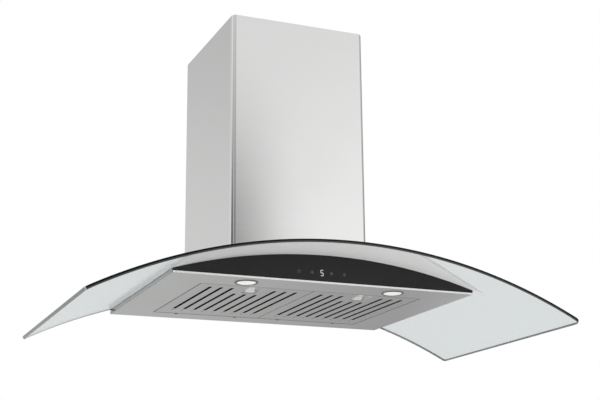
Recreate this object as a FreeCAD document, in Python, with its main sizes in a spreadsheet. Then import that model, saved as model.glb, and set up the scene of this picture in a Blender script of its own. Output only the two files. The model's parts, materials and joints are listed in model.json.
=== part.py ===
# Curved glass range hood, 900 mm wide, wall hung.
# X runs to the right of someone facing the hood, Y towards the wall, Z up, in millimetres.
# The model is drawn with its underside at zero and the wall at Y = 0. Every piece is then
# lowered by hang_height, so the origin is the centre of the four wall screws.
import FreeCAD, Part
import os
import re

import Sketcher

Vector = FreeCAD.Vector
Rotation = FreeCAD.Rotation

SIZES = {
    # curved glass
    "glass_width": 900, "glass_depth": 500, "glass_thick": 6, "glass_rear_gap": 1,
    "arch_radius": 975, "arch_rise": 50, "glass_front_corner": 12, "glass_rear_corner": 6,
    "skirt_gap": 0.5, "notch_step": 5, "notch_front_step": 17, "notch_corner": 8, "glass_bore": 4.1,
    # body under the glass
    "body_width": 566, "body_depth": 408, "body_sheet": 1, "gasket_thick": 1, "gasket_width": 8,
    "gasket_seat": 0.05,
    "panel_thick": 4, "tape_thick": 1, "tape_inset": 3, "tape_side_inset": 24, "panel_gap": 0.5,
    "hem_height": 3, "display_gap": 0.5,
    "window_width": 140, "window_low": 9, "window_high": 27, "board_margin": 6, "board_thick": 1.6,
    "intake_width": 200, "intake_front": 218, "intake_rear": 12,
    "control_width": 130, "control_front": 392, "control_rear": 342, "control_height": 26,
    # blower box and its fixings
    "hang_height": 175, "wall_screw_across": 160, "wall_screw_up": 130, "wall_screw_hole": 3.5,
    "box_width": 216, "box_depth": 242, "box_top": 290, "flange_reach": 22,
    "flange_front_reach": 24, "flange_rear": 2, "bolt_reach": 10, "bolt_front_reach": 11,
    "bolt_rear": 40, "bolt_radius": 2.5,
    "washer_radius": 6, "washer_thick": 1, "nut_size": 4.6, "nut_thick": 4, "bolt_tail": 6,
    "lid_tab": 12, "small_screw": 2, "small_head": 3.6, "small_head_height": 2, "screw_grip": 7,
    "ear_side_gap": 1, "over_cut": 1, "through_cut": 15,
    # fan
    "fan_back": 147, "fan_height": 165, "fan_radius": 75, "fan_inner": 61, "fan_half": 46,
    "blade_thick": 1.2, "blade_lean": 7, "ring_width": 3, "disc_thick": 2, "hub_radius": 12,
    "rim_depth": 8, "blade_bow": 0.3, "blade_short": 1, "hub_left": 8, "hub_right": 13,
    "scroll_start": 84, "scroll_step": 7, "scroll_half": 52,
    "scroll_wall": 1, "inlet_radius": 62, "throat_depth": 95, "scroll_screw_share": 0.2,
    "scroll_flange": 12,
    "motor_radius": 42, "motor_left": 80, "motor_right": 12, "shaft_radius": 4, "shaft_gap": 0.08,
    "shaft_left": 58, "shaft_right": 24,
    "shaft_pocket": 1, "motor_bevel": 6, "motor_nose": 8, "motor_step": 5, "boss_radius": 12,
    "boss_length": 4, "mount_length": 12, "mount_wall": 4, "arm_width": 12,
    "arm_reach": 78, "arm_thick": 5, "arm_screw_reach": 71, "capacitor_radius": 14,
    "capacitor_height": 52, "capacitor_back": 60, "capacitor_gap": 2, "clip_wall": 1.2,
    "clip_height": 12, "clip_up": 20, "clip_half": 8,
    # duct collar and damper
    "duct_radius": 75, "collar_wall": 2, "collar_height": 50, "collar_flange": 11,
    "collar_flange_thick": 2.5, "collar_screw_inset": 5.5, "pin_radius": 2, "pin_height": 34,
    "pin_gap": 0.08, "pin_short": 0.5, "leaf_gap": 0.5, "knuckle_wall": 1.5, "knuckle_length": 14,
    "flap_thick": 1.5,
    "flap_gap": 0.7, "ledge_width": 3.5, "ledge_thick": 1.5, "ledge_gap": 0.3,
    "gland_side_inset": 22, "gland_front_inset": 36, "gland_bore": 4, "gland_wall": 2.5,
    "gland_tail": 8, "gland_nut": 5, "gland_step": 4, "gland_cap": 14, "gland_shoulder": 1,
    "gland_taper": 0.5,
    # chimney
    "chimney_width": 270, "chimney_depth": 280, "chimney_top": 536, "chimney_sheet": 0.8,
    "chimney_bend": 5, "chimney_wall_gap": 0.5, "chimney_lip": 15, "chimney_seat": 0.3, "cover_gap": 0.8,
    "cover_front_gap": 0.8, "cover_rear_gap": 2, "upper_length": 410, "upper_drop": 2,
    "upper_lip": 12, "lip_stop": 44, "vent_length": 60, "vent_height": 4, "vent_pitch": 12,
    "vent_drop": 52, "vent_front_share": 0.68, "vent_rear_share": 0.34, "stop_tab": 3.6,
    "stop_tab_depth": 14, "stop_gap": 0.3,
    "ear_low": 72, "ear_height": 24, "ear_thick": 1, "ear_screw_grip": 1.8,
    "bracket_height": 26, "bracket_drop": 10, "bracket_sheet": 1.6, "bracket_pad": 230,
    "bracket_arm": 30, "bracket_gap": 0.3, "bracket_hole_across": 160, "bracket_hole": 3,
    "bracket_screw_share": 0.6,
    # filters
    "opening_half": 212, "opening_front": 339, "opening_rear": 50, "filter_inner": 0.6,
    "filter_side_gap": 1.6, "filter_front_gap": 1.4, "filter_rear_gap": 3, "filter_height": 10,
    "filter_sheet": 1, "slot_pitch": 20, "slot_width": 6, "slot_front": 316, "slot_rear": 98,
    "slot_short": 271, "drain_radius": 2, "drain_back": 86, "baffle_width": 14,
    "baffle_low": 4.5, "baffle_top": 8.5, "baffle_sheet": 0.6,
    "cup_half": 15, "cup_front": 334, "cup_rear": 277, "cup_height": 9, "cup_wall": 1,
    "latch_top_gap": 0.3, "latch_plate": 1.5, "latch_half": 11.5, "tongue_half": 6,
    "tongue_gap": 0.7, "tongue_side_gap": 0.4, "tongue_slot_gap": 0.3, "tongue_root": 4,
    "plate_front_gap": 2, "finger_half": 8.4, "finger_front": 296, "finger_rear": 288,
    "finger_low": 0.6, "rail_width": 3, "rail_thick": 0.6, "rail_gap": 0.3,
    "spring_strip": 1.1, "spring_half": 3, "spring_low": 2.6, "spring_rise": 2.6, "end_gap": 0.2,
    "hinge_back": 46.5, "hinge_height": 3.6, "hinge_radius": 1.8, "hinge_gap": 0.08,
    "hinge_half": 7, "neck_half": 2.4, "neck_thick": 1.2, "lug_offset": 60, "hook_in": 2.8,
    "hook_out": 6.8, "hook_depth": 6,
    # lamps
    "lamp_across": 280, "lamp_back": 369, "lamp_hole": 20, "bezel_radius": 21,
    "bezel_thick": 1.2, "neck_radius": 19.8, "neck_wall": 1.3, "neck_height": 8, "lens_radius": 16.5,
    "lens_gap": 0.2, "lens_lip": 1.5, "lens_proud": 0.6, "lens_thick": 1.5, "lens_bevel": 1,
    "bezel_bevel": 1, "lamp_height": 14, "lamp_bevel": 2,
}

BLADES = 32
FILTER_SLOTS = 9
SHORT_SLOTS = (3, 4, 5)
VENTS = 4
SPRING_FOLDS = 6
RIGHT_KNUCKLES = ("-60", "16")
LEFT_KNUCKLES = ("-42", "34")
QUARTER_TURN = 90

doc = FreeCAD.newDocument("range_hood")
sheet = doc.addObject("Spreadsheet::Sheet", "sizes")
for row, (word, number) in enumerate(SIZES.items(), start=1):
    sheet.set(f"A{row}", word)
    sheet.set(f"B{row}", str(number))
    sheet.setAlias(f"B{row}", word)
doc.recompute()

NODES = []
BASE_HEIGHT = {}


# ---- helpers: every size and place is an expression of the sheet's words ----

def linked(text):
    def swap(found):
        word = found.group(0)
        return f"sizes.{word}" if word in SIZES else word
    return re.sub(r"[a-z_]+", swap, str(text))


def bind(thing, prop, text):
    thing.setExpression(prop, linked(text))


def worked(text):
    value = sheet.evalExpression(linked(text))
    return float(getattr(value, "Value", value))


def place(thing, x, y, z):
    bind(thing, "Placement.Base.x", x)
    bind(thing, "Placement.Base.y", y)
    bind(thing, "Placement.Base.z", z)
    BASE_HEIGHT[thing.Name] = z


def box(name, left, right, front, rear, low, high):
    block = doc.addObject("Part::Box", name)
    bind(block, "Length", f"({right}) - ({left})")
    bind(block, "Width", f"({rear}) - ({front})")
    bind(block, "Height", f"({high}) - ({low})")
    place(block, left, front, low)
    return block


def rod(name, axis, radius, first, last, across, up):
    """A cylinder along axis from first to last; across and up are its other two places."""
    turned_to = {"X": (Vector(0, 1, 0), QUARTER_TURN), "Y": (Vector(1, 0, 0), -QUARTER_TURN),
                 "Z": (Vector(0, 0, 1), 0)}
    start = {"X": (first, across, up), "Y": (across, first, up), "Z": (across, up, first)}[axis]
    round_bar = doc.addObject("Part::Cylinder", name)
    round_bar.Placement = FreeCAD.Placement(Vector(), Rotation(*turned_to[axis]))
    bind(round_bar, "Radius", radius)
    bind(round_bar, "Height", f"({last}) - ({first})")
    place(round_bar, *start)
    return round_bar


def cut(name, base, *tools):
    result = doc.addObject("Part::Cut", name)
    result.Base = base
    result.Tool = tools[0] if len(tools) == 1 else fuse(name + "_tools", *tools)
    return result


def fuse(name, *pieces):
    result = doc.addObject("Part::MultiFuse", name)
    result.Shapes = list(pieces)
    return result


def common(name, *pieces):
    result = doc.addObject("Part::MultiCommon", name)
    result.Shapes = list(pieces)
    return result


def tube(name, axis, outer, inner, first, last, across, up):
    skin = rod(name + "_skin", axis, outer, first, last, across, up)
    bore = rod(name + "_bore", axis, inner, first, last, across, up)
    return cut(name, skin, bore)


def node(name, thing):
    """Names a finished piece and lowers it to the wall screws' height."""
    thing.Label = name
    bind(thing, "Placement.Base.z", f"({BASE_HEIGHT.get(thing.Name, 0)}) - hang_height")
    NODES.append(thing)
    return thing


def group(name, pieces):
    """Several equal solids in one node."""
    together = doc.addObject("Part::Compound", name)
    together.Links = list(pieces)
    return node(name, together)


def mirror_node(name, source):
    """The same piece on the other side of the hood."""
    twin = doc.addObject("Part::Mirroring", name)
    twin.Source = source
    twin.Normal = Vector(1, 0, 0)
    twin.Label = name
    NODES.append(twin)
    return twin


# ---- helpers for sketched bodies ----

def body(name):
    return doc.addObject("PartDesign::Body", name)


def sketch(owner, plane, offset="0"):
    """A sketch on an origin plane; the offset runs along X on YZ, along -Y on XZ, along Z on XY."""
    drawing = owner.newObject("Sketcher::SketchObject", owner.Name + "_sketch")
    faces = {part.Role: part for part in owner.Origin.OriginFeatures}
    drawing.AttachmentSupport = (faces[plane + "_Plane"], [""])
    drawing.MapMode = "FlatFace"
    bind(drawing, "AttachmentOffset.Base.z", offset)
    return drawing


def pin_point(drawing, geometry, end, x, y):
    for kind, text in (("DistanceX", x), ("DistanceY", y)):
        index = drawing.addConstraint(Sketcher.Constraint(kind, -1, 1, geometry, end, worked(text)))
        bind(drawing, f"Constraints[{index}]", text)


def outline(drawing, corners):
    """A closed outline through corners (x, y); a corner (x, y, radius) starts an arc that bulges
    to the right of its run to the next corner, or to the left where the radius text starts with -."""
    points = [Vector(worked(corner[0]), worked(corner[1]), 0) for corner in corners]
    edges = []
    for index, corner in enumerate(corners):
        start = points[index]
        finish = points[(index + 1) % len(points)]
        if len(corner) == 2:
            number = drawing.addGeometry(Part.LineSegment(start, finish))
            edges.append((number, 1, 2))
            continue
        radius_text = corner[2].lstrip("-")
        radius = worked(radius_text)
        chord = finish - start
        depth = radius - (radius ** 2 - chord.Length ** 2 / 4) ** 0.5
        side = Vector(chord.y, -chord.x, 0).normalize()
        middle = (start + finish) / 2 + side * (-depth if corner[2].startswith("-") else depth)
        number = drawing.addGeometry(Part.Arc(start, middle, finish))
        reversed_arc = drawing.getPoint(number, 1).distanceToPoint(start) > 1e-6
        edges.append((number, 2, 1) if reversed_arc else (number, 1, 2))
        limit = drawing.addConstraint(Sketcher.Constraint("Radius", number, radius))
        bind(drawing, f"Constraints[{limit}]", radius_text)
    for index, (number, first, last) in enumerate(edges):
        following = edges[(index + 1) % len(edges)]
        drawing.addConstraint(Sketcher.Constraint("Coincident", number, last, following[0], following[1]))
        pin_point(drawing, number, first, corners[index][0], corners[index][1])
    return drawing


def ring(drawing, x, y, radius):
    circle = Part.Circle(Vector(worked(x), worked(y), 0), Vector(0, 0, 1), worked(radius))
    number = drawing.addGeometry(circle)
    limit = drawing.addConstraint(Sketcher.Constraint("Radius", number, worked(radius)))
    bind(drawing, f"Constraints[{limit}]", radius)
    pin_point(drawing, number, 3, x, y)
    return drawing


def pad(owner, drawing, length, both_ways=False):
    feature = owner.newObject("PartDesign::Pad", owner.Name + "_pad")
    feature.Profile = drawing
    if both_ways:
        feature.Midplane = True
    bind(feature, "Length", length)
    doc.recompute()
    return feature


def pocket(owner, drawing, depth, flip=False):
    before = owner.Tip.Shape.Volume
    feature = owner.newObject("PartDesign::Pocket", owner.Name + "_pocket")
    feature.Profile = drawing
    feature.Reversed = flip
    bind(feature, "Length", depth)
    doc.recompute()
    if feature.Shape.Volume >= before:
        raise RuntimeError(f"{owner.Name}: the pocket removes nothing")
    return feature


def turned(name, spin_axis, profile):
    """A turned piece: the profile's corners are (along the axis, radius)."""
    owner = body(name)
    drawing = sketch(owner, "XZ")
    corners = profile if spin_axis == "X" else [(radius, along) for along, radius in profile]
    outline(drawing, corners)
    feature = owner.newObject("PartDesign::Revolution", name + "_turn")
    feature.Profile = drawing
    feature.ReferenceAxis = (drawing, ["H_Axis" if spin_axis == "X" else "V_Axis"])
    feature.Angle = 360
    doc.recompute()
    return owner


# ---- the arch: glass, gaskets and sheets share one centre line ----

ARCH_CENTRE = "(arch_rise - arch_radius)"
UNDER_GASKET = "(0 - gasket_thick)"
UNDER_SHEET = "(0 - gasket_thick - body_sheet)"
UNDER_GLASS = "(0 - gasket_seat)"
OVER_GLASS = "(glass_thick + gasket_seat)"
OVER_FLANGE_GASKET = "(glass_thick + gasket_thick)"
OVER_FLANGE = "(glass_thick + gasket_thick + body_sheet)"
FRONT_FACE = "(0 - body_depth + panel_thick + tape_thick)"
PANEL_BACK = "(0 - body_depth + panel_thick)"
FLANGE_HALF = "(box_width / 2 + flange_reach)"
FLANGE_FRONT = "(0 - box_depth - flange_front_reach)"
BOLT_X = "(box_width / 2 + bolt_reach)"
BOLT_FRONT = "(0 - box_depth - bolt_front_reach)"
NOTCH_HALF = "(box_width / 2 - notch_step)"
NOTCH_FRONT = "(notch_front_step - box_depth)"
GLAND_X = "(box_width / 2 - gland_side_inset)"
GLAND_Y = "(gland_front_inset - box_depth)"


def barrel(name, offset, front, rear):
    return rod(name, "Y", f"arch_radius + {offset}", front, rear, "0", ARCH_CENTRE)


def arched_sheet(name, low, high, half_width, front, rear):
    """A sheet bent to the glass's curve, between two offsets from its lower face."""
    shell = cut(name + "_shell", barrel(name + "_over", high, front, rear),
                barrel(name + "_under", low, front, rear))
    return common(name + "_sheet", shell, box(name + "_plan", f"-({half_width})", half_width, front,
                                              rear, "0", "2 * arch_rise"))


def square_to_arch(name, kind, size, low, high, side, x, y):
    """A round or six-sided bar that stands square to the curve, x out from the middle on its side."""
    bar = doc.addObject("Part::Cylinder" if kind == "round" else "Part::Prism", name)
    bind(bar, "Radius" if kind == "round" else "Circumradius", size)
    bind(bar, "Height", f"({high}) - ({low})")
    bar.Placement = FreeCAD.Placement(Vector(), Rotation(Vector(0, side, 0), 1))
    bind(bar, "Placement.Rotation.Angle", f"asin({x} / arch_radius)")
    reach = f"(arch_radius + ({low}))"
    place(bar, f"{side} * {reach} * {x} / arch_radius", y,
          f"{ARCH_CENTRE} + {reach} * sqrt(1 - ({x} / arch_radius)^2)")
    return bar


def bolt_places():
    for side_name, side in (("left", -1), ("right", 1)):
        for end, y in (("front", BOLT_FRONT), ("rear", "-bolt_rear")):
            yield f"{end}_{side_name}", (side, BOLT_X, y)


def bolt_holes(name, size):
    """Four holes square to the curve, long enough for every sheet and for the glass."""
    holes = []
    for spot, where in bolt_places():
        holes.append(square_to_arch(f"{name}_{spot}", "round", size, "-through_cut", "through_cut",
                                    *where))
    return holes


def make_glass():
    owner = body("glass_bend")
    over = "(arch_radius + glass_thick)"
    half = "(glass_width / 2)"
    end_up = f"({ARCH_CENTRE} + sqrt({over}^2 - {half}^2))"
    in_half = f"({half} * arch_radius / {over})"
    in_up = f"({ARCH_CENTRE} + sqrt({over}^2 - {half}^2) * arch_radius / {over})"
    drawing = sketch(owner, "XZ", "glass_rear_gap")
    outline(drawing, [(f"-{half}", end_up, f"-{over}"), (half, end_up), (in_half, in_up, "arch_radius"),
                      (f"-{in_half}", in_up)])
    pad(owner, drawing, "glass_depth - glass_rear_gap")
    corners = {"front": [], "rear": []}
    for number, edge in enumerate(owner.Tip.Shape.Edges, start=1):
        ends = [vertex.Point for vertex in edge.Vertexes]
        along_y = abs(ends[0].y - ends[-1].y) > 1e-3
        if along_y or edge.Length > 2 * worked("glass_thick"):
            continue
        corners["front" if ends[0].y < -worked("glass_depth") / 2 else "rear"].append(f"Edge{number}")
    first = owner.Tip
    for place_name in ("front", "rear"):
        if place_name == "rear":
            first = owner.Tip
            corners["rear"] = [
                f"Edge{number}" for number, edge in enumerate(first.Shape.Edges, start=1)
                if edge.Length < 2 * worked("glass_thick")
                and edge.CenterOfMass.y > -worked("glass_depth") / 2
                and abs(edge.Vertexes[0].Point.y - edge.Vertexes[-1].Point.y) < 1e-3
            ]
        feature = owner.newObject("PartDesign::Fillet", f"glass_{place_name}_corners")
        feature.Base = (first, corners[place_name])
        bind(feature, "Radius", f"glass_{place_name}_corner")
        doc.recompute()
    notch = [
        box("notch_wide", f"-{NOTCH_HALF}", NOTCH_HALF, f"{NOTCH_FRONT} + notch_corner", "over_cut", "0",
            "2 * arch_rise"),
        box("notch_deep", f"notch_corner - {NOTCH_HALF}", f"{NOTCH_HALF} - notch_corner", NOTCH_FRONT,
            "over_cut", "0", "2 * arch_rise"),
    ]
    for side, x in (("left", f"notch_corner - {NOTCH_HALF}"), ("right", f"{NOTCH_HALF} - notch_corner")):
        notch.append(rod(f"notch_{side}", "Z", "notch_corner", "0", "2 * arch_rise", x,
                         f"{NOTCH_FRONT} + notch_corner"))
    holes = bolt_holes("glass_hole", "glass_bore")
    node("glass_canopy", cut("glass_with_notch", owner, *notch, *holes))


def make_body_shell():
    half = "body_width / 2"
    inner = "(body_width / 2 - body_sheet)"
    top = arched_sheet("top_arch", UNDER_SHEET, UNDER_GASKET, half, FRONT_FACE, "0")
    intake = box("intake", "-intake_width / 2", "intake_width / 2", "-intake_front", "-intake_rear", "0",
                 "2 * arch_rise")
    node("body_top", cut("top_with_intake", top, intake, *bolt_holes("top_hole", "bolt_radius")))

    skin = box("pan_skin", f"-{half}", half, FRONT_FACE, "0", "0", "arch_rise")
    hollow = box("pan_hollow", f"-{inner}", inner, f"{FRONT_FACE} + body_sheet", "-body_sheet",
                 "body_sheet", "2 * arch_rise")
    walls = common("pan_walls", cut("pan_tray", skin, hollow),
                   barrel("pan_arch", UNDER_SHEET, FRONT_FACE, "0"))
    lip_floor = box("pan_lip_floor", f"-{half}", half, "-body_depth", FRONT_FACE, "0", "body_sheet")
    lip = box("pan_lip", f"-{half}", half, "-body_depth", "body_sheet - body_depth", "0", "hem_height")
    holes = [box("filter_opening", "-opening_half", "opening_half", "-opening_front", "-opening_rear",
                 "-over_cut", "2 * body_sheet")]
    holes.append(box("display_window", "-window_width / 2", "window_width / 2", "-body_depth",
                     f"{FRONT_FACE} + 2 * body_sheet", "window_low", "window_high"))
    for side, x in lamp_places():
        holes.append(rod(f"lamp_hole_{side}", "Z", "lamp_hole", "-over_cut", "2 * body_sheet", x,
                         "-lamp_back"))
    for index, x in enumerate(lug_places()):
        holes.append(box(f"lug_notch_{index}", f"{x} - hook_in", f"{x} + hook_in",
                         "-opening_rear - over_cut", "hook_depth - opening_rear", "-over_cut",
                         "2 * body_sheet"))
    node("underside_pan", cut("pan_with_holes", fuse("pan_blank", walls, lip_floor, lip), *holes))


def make_gaskets():
    half = "body_width / 2"
    inner = "(body_width / 2 - gasket_width)"
    blank = arched_sheet("gasket_arch", UNDER_GASKET, UNDER_GLASS, half, FRONT_FACE, "0")
    left_free = box("gasket_gap", f"-{inner}", inner, f"{FRONT_FACE} + gasket_width", "-gasket_width",
                    "0", "2 * arch_rise")
    kept = box("gasket_pad", f"-{FLANGE_HALF}", FLANGE_HALF, FLANGE_FRONT, "-flange_rear", "-over_cut",
               "2 * arch_rise")
    notch = box("gasket_notch", f"-{NOTCH_HALF}", NOTCH_HALF, NOTCH_FRONT, "over_cut", "-over_cut",
                "2 * arch_rise")
    waste = cut("gasket_waste", left_free, kept)
    strip = cut("gasket_strip", blank, waste, notch, *bolt_holes("gasket_hole", "bolt_radius"))
    node("glass_gasket", strip)

    flange = arched_sheet("flange_gasket_arch", OVER_GLASS, OVER_FLANGE_GASKET, FLANGE_HALF,
                          FLANGE_FRONT, "-flange_rear")
    space = box("flange_gasket_notch", f"-{NOTCH_HALF}", NOTCH_HALF, NOTCH_FRONT, "over_cut",
                "-over_cut", "2 * arch_rise")
    holes = bolt_holes("flange_gasket_hole", "bolt_radius")
    node("flange_gasket", cut("flange_gasket_ring", flange, space, *holes))


def panel_outline(drawing, inset, low):
    side = f"(body_width / 2 - {inset})"
    top = f"(arch_radius - panel_gap - {inset})"
    height = f"({ARCH_CENTRE} + sqrt({top}^2 - {side}^2))"
    return outline(drawing, [(f"-{side}", low), (side, low), (side, height, top), (f"-{side}", height)])


def make_panel():
    owner = body("panel_body")
    pad(owner, panel_outline(sketch(owner, "XZ", "body_depth - panel_thick"), "0", "hem_height"),
        "panel_thick")
    node("front_panel", owner)

    tape = body("tape_body")
    side = "(body_width / 2 - tape_side_inset)"
    top = "(arch_radius - panel_gap - tape_inset)"
    height = f"({ARCH_CENTRE} + sqrt({top}^2 - {side}^2))"
    drawing = sketch(tape, "XZ", "body_depth - panel_thick - tape_thick")
    outline(drawing, [(f"-{side}", "hem_height"), (side, "hem_height"), (side, height, top),
                      (f"-{side}", height)])
    pad(tape, drawing, "tape_thick")
    window = box("tape_window", "-window_width / 2", "window_width / 2", "-body_depth", FRONT_FACE,
                 "window_low", "window_high")
    node("panel_tape", cut("tape_frame", tape, window))

    board = box("board_plate", "-window_width / 2 - board_margin", "window_width / 2 + board_margin",
                f"{FRONT_FACE} + body_sheet", f"{FRONT_FACE} + body_sheet + board_thick",
                "window_low - board_margin", "window_high + board_margin")
    display = box("board_display", "display_gap - window_width / 2", "window_width / 2 - display_gap",
                  PANEL_BACK,
                  f"{FRONT_FACE} + body_sheet", "window_low + display_gap", "window_high - display_gap")
    node("touch_board", fuse("board_blank", board, display))

    case = box("control_case", "-control_width / 2", "control_width / 2", "-control_front",
               "-control_rear",
               "body_sheet", "body_sheet + control_height")
    node("control_box", case)


# ---- blower box, bolts and lid ----

BOX_HALF = "(box_width / 2)"
LID_LOW = "(box_top - body_sheet)"
EAR_REAR = "(0 - chimney_wall_gap - chimney_sheet)"
EAR_SCREW_UP = "(ear_low + ear_height / 2)"


def make_blower_box():
    skin = box("box_skin", f"-{BOX_HALF}", BOX_HALF, "-box_depth", "0", "0", LID_LOW)
    hollow = box("box_hollow", f"body_sheet - {BOX_HALF}", f"{BOX_HALF} - body_sheet",
                 "body_sheet - box_depth", "-body_sheet", "-over_cut", "box_top")
    walls = cut("box_walls", skin, hollow, barrel("box_arch", OVER_FLANGE_GASKET,
                                                  "-box_depth - over_cut", "over_cut"))
    flange = arched_sheet("box_flange_arch", OVER_FLANGE_GASKET, OVER_FLANGE, FLANGE_HALF, FLANGE_FRONT,
                          "-flange_rear")
    well = box("box_well", f"body_sheet - {BOX_HALF}", f"{BOX_HALF} - body_sheet",
               "body_sheet - box_depth", "-body_sheet", "0", "2 * arch_rise")
    flange_ring = cut("box_flange", flange, well, *bolt_holes("flange_hole", "bolt_radius"))
    skirt = box("box_skirt", f"skirt_gap - {NOTCH_HALF}", f"{NOTCH_HALF} - skirt_gap", "-body_sheet",
                "0", "0", "2 * arch_rise")
    skirt_arch = barrel("skirt_arch", "skirt_gap", "-box_depth", "over_cut")
    pieces = [walls, flange_ring, cut("box_skirt_arched", skirt, skirt_arch)]
    for side, sign in (("left", "-1"), ("right", "1")):
        inner = f"{sign} * ({BOX_HALF} - body_sheet - lid_tab)"
        outer = f"{sign} * ({BOX_HALF} - body_sheet)"
        low, high = (outer, inner) if sign == "-1" else (inner, outer)
        for end, front in (("front", "body_sheet - box_depth"), ("rear", "-body_sheet - lid_tab")):
            pieces.append(box(f"lid_tab_{end}_{side}", low, high, front, f"{front} + lid_tab",
                              f"{LID_LOW} - body_sheet", LID_LOW))
        ear_in = f"{sign} * ({BOX_HALF} - body_sheet)"
        ear_out = f"{sign} * (chimney_width / 2 - chimney_sheet - ear_side_gap)"
        low, high = (ear_out, ear_in) if sign == "-1" else (ear_in, ear_out)
        pieces.append(box(f"ear_{side}", low, high, f"{EAR_REAR} - ear_thick", EAR_REAR, "ear_low",
                          "ear_low + ear_height"))
    holes = []
    for x in ("-wall_screw_across / 2", "wall_screw_across / 2"):
        for z in ("hang_height - wall_screw_up / 2", "hang_height + wall_screw_up / 2"):
            holes.append(rod("wall_hole", "Y", "wall_screw_hole", "-through_cut", "over_cut", x, z))
    for index, (x, y) in enumerate(lid_screw_places()):
        holes.append(rod(f"tab_hole_{index}", "Z", "small_screw", f"{LID_LOW} - through_cut", "box_top",
                         x, y))
    for side, x in ear_screw_places():
        holes.append(rod(f"ear_hole_{side}", "Y", "small_screw", "-through_cut", "over_cut", x,
                         EAR_SCREW_UP))
    node("blower_box", cut("box_with_holes", fuse("box_blank", *pieces), *holes))


def lid_screw_places():
    across = f"({BOX_HALF} - body_sheet - lid_tab / 2)"
    for x in (f"-{across}", across):
        for y in ("body_sheet - box_depth + lid_tab / 2", "-body_sheet - lid_tab / 2"):
            yield x, y


def scroll_screw_places():
    across = "(scroll_half + scroll_wall + scroll_flange / 2)"
    for x in (f"-{across}", across):
        for share in ("scroll_screw_share", "(1 - scroll_screw_share)"):
            yield x, f"({THROAT_FRONT} + throat_depth * {share})"


def collar_screw_places():
    reach = "(duct_radius + collar_flange - collar_screw_inset)"
    for turn in (45, 135, 225, 315):
        yield f"{reach} * cos({turn})", f"{THROAT_MIDDLE} + {reach} * sin({turn})"


def ear_screw_places():
    across = "(chimney_width / 2 - chimney_lip / 2)"
    return (("left", f"-{across}"), ("right", across))


def pan_head(name, axis, x, y, z, head_side, grip="screw_grip"):
    """A small screw whose head sits on the face at its place; head_side is 1 or -1 along the axis."""
    spot = {"X": x, "Y": y, "Z": z}[axis]
    across, up = {"X": (y, z), "Y": (x, z), "Z": (x, y)}[axis]
    if head_side > 0:
        shank = rod(name + "_shank", axis, "small_screw", f"{spot} - {grip}", spot, across, up)
        head = rod(name + "_head", axis, "small_head", spot, f"{spot} + small_head_height", across, up)
    else:
        shank = rod(name + "_shank", axis, "small_screw", spot, f"{spot} + {grip}", across, up)
        head = rod(name + "_head", axis, "small_head", f"{spot} - small_head_height", spot, across, up)
    return fuse(name, shank, head)


def screw_row(name, places, up):
    """Small screws that stand on a level face, one at each place (x, y)."""
    group(name, [pan_head(f"{name}_{index}", "Z", x, y, up, 1) for index, (x, y) in enumerate(places)])


def make_box_lid():
    plate = box("lid_plate", f"-{BOX_HALF}", BOX_HALF, "-box_depth", "0", LID_LOW, "box_top")
    holes = [box("lid_throat", "-scroll_half", "scroll_half", THROAT_FRONT, THROAT_REAR, "0",
                 "2 * box_top")]
    low = f"{LID_LOW} - over_cut"
    high = "box_top + over_cut"
    for index, (x, y) in enumerate([*lid_screw_places(), *scroll_screw_places(), *collar_screw_places()]):
        holes.append(rod(f"lid_hole_{index}", "Z", "small_screw", low, high, x, y))
    holes.append(rod("gland_hole", "Z", "gland_bore + gland_wall", low, high, GLAND_X, GLAND_Y))
    node("box_lid", cut("lid_with_holes", plate, *holes))
    screw_row("lid_screws", lid_screw_places(), "box_top")
    screw_row("scroll_screws", scroll_screw_places(), "box_top")

    stem = "(gland_bore + gland_wall)"
    gland = turned("gland_body", "Z", [
        ("-gland_tail", "gland_bore"), ("-gland_tail", stem), ("0", stem), ("0", f"{stem} + gland_step"),
        ("gland_nut", f"{stem} + gland_step"), ("gland_nut", f"{stem} + gland_shoulder"),
        ("gland_cap", f"{stem} - gland_taper"), ("gland_cap", "gland_bore"),
    ])
    place(gland, GLAND_X, GLAND_Y, "box_top")
    node("cable_gland", gland)


def make_glass_bolts():
    washer_top = f"({OVER_FLANGE} + washer_thick)"
    nut_top = f"({UNDER_SHEET} - nut_size^2 / arch_radius)"
    sleeve_top = "(glass_thick - glass_bore^2 / arch_radius)"
    bolts = []
    washers = []
    sleeves = []
    nuts = []
    for spot, where in bolt_places():
        shank = square_to_arch(f"bolt_shank_{spot}", "round", "bolt_radius",
                               f"{UNDER_SHEET} - bolt_tail", washer_top, *where)
        head = square_to_arch(f"bolt_head_{spot}", "six-sided", "nut_size", washer_top,
                              f"{washer_top} + nut_thick", *where)
        bolts.append(fuse(f"bolt_{spot}", shank, head))
        disc = square_to_arch(f"washer_disc_{spot}", "round", "washer_radius", OVER_FLANGE, washer_top,
                              *where)
        eye = square_to_arch(f"washer_eye_{spot}", "round", "bolt_radius", "glass_thick",
                             f"{washer_top} + over_cut", *where)
        washers.append(cut(f"washer_{spot}", disc, eye))
        bush = square_to_arch(f"sleeve_bush_{spot}", "round", "glass_bore", "0", sleeve_top, *where)
        hole = square_to_arch(f"sleeve_hole_{spot}", "round", "bolt_radius", "-over_cut",
                              "glass_thick + over_cut", *where)
        sleeves.append(cut(f"sleeve_{spot}", bush, hole))
        nut = square_to_arch(f"nut_body_{spot}", "six-sided", "nut_size", f"{nut_top} - nut_thick",
                             nut_top, *where)
        thread = square_to_arch(f"nut_thread_{spot}", "round", "bolt_radius",
                                f"{nut_top} - nut_thick - over_cut", "0", *where)
        nuts.append(cut(f"nut_{spot}", nut, thread))
    group("glass_bolts", bolts)
    group("bolt_washers", washers)
    group("bolt_sleeves", sleeves)
    group("bolt_nuts", nuts)


# ---- fan: scroll, wheel, motor ----

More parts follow.
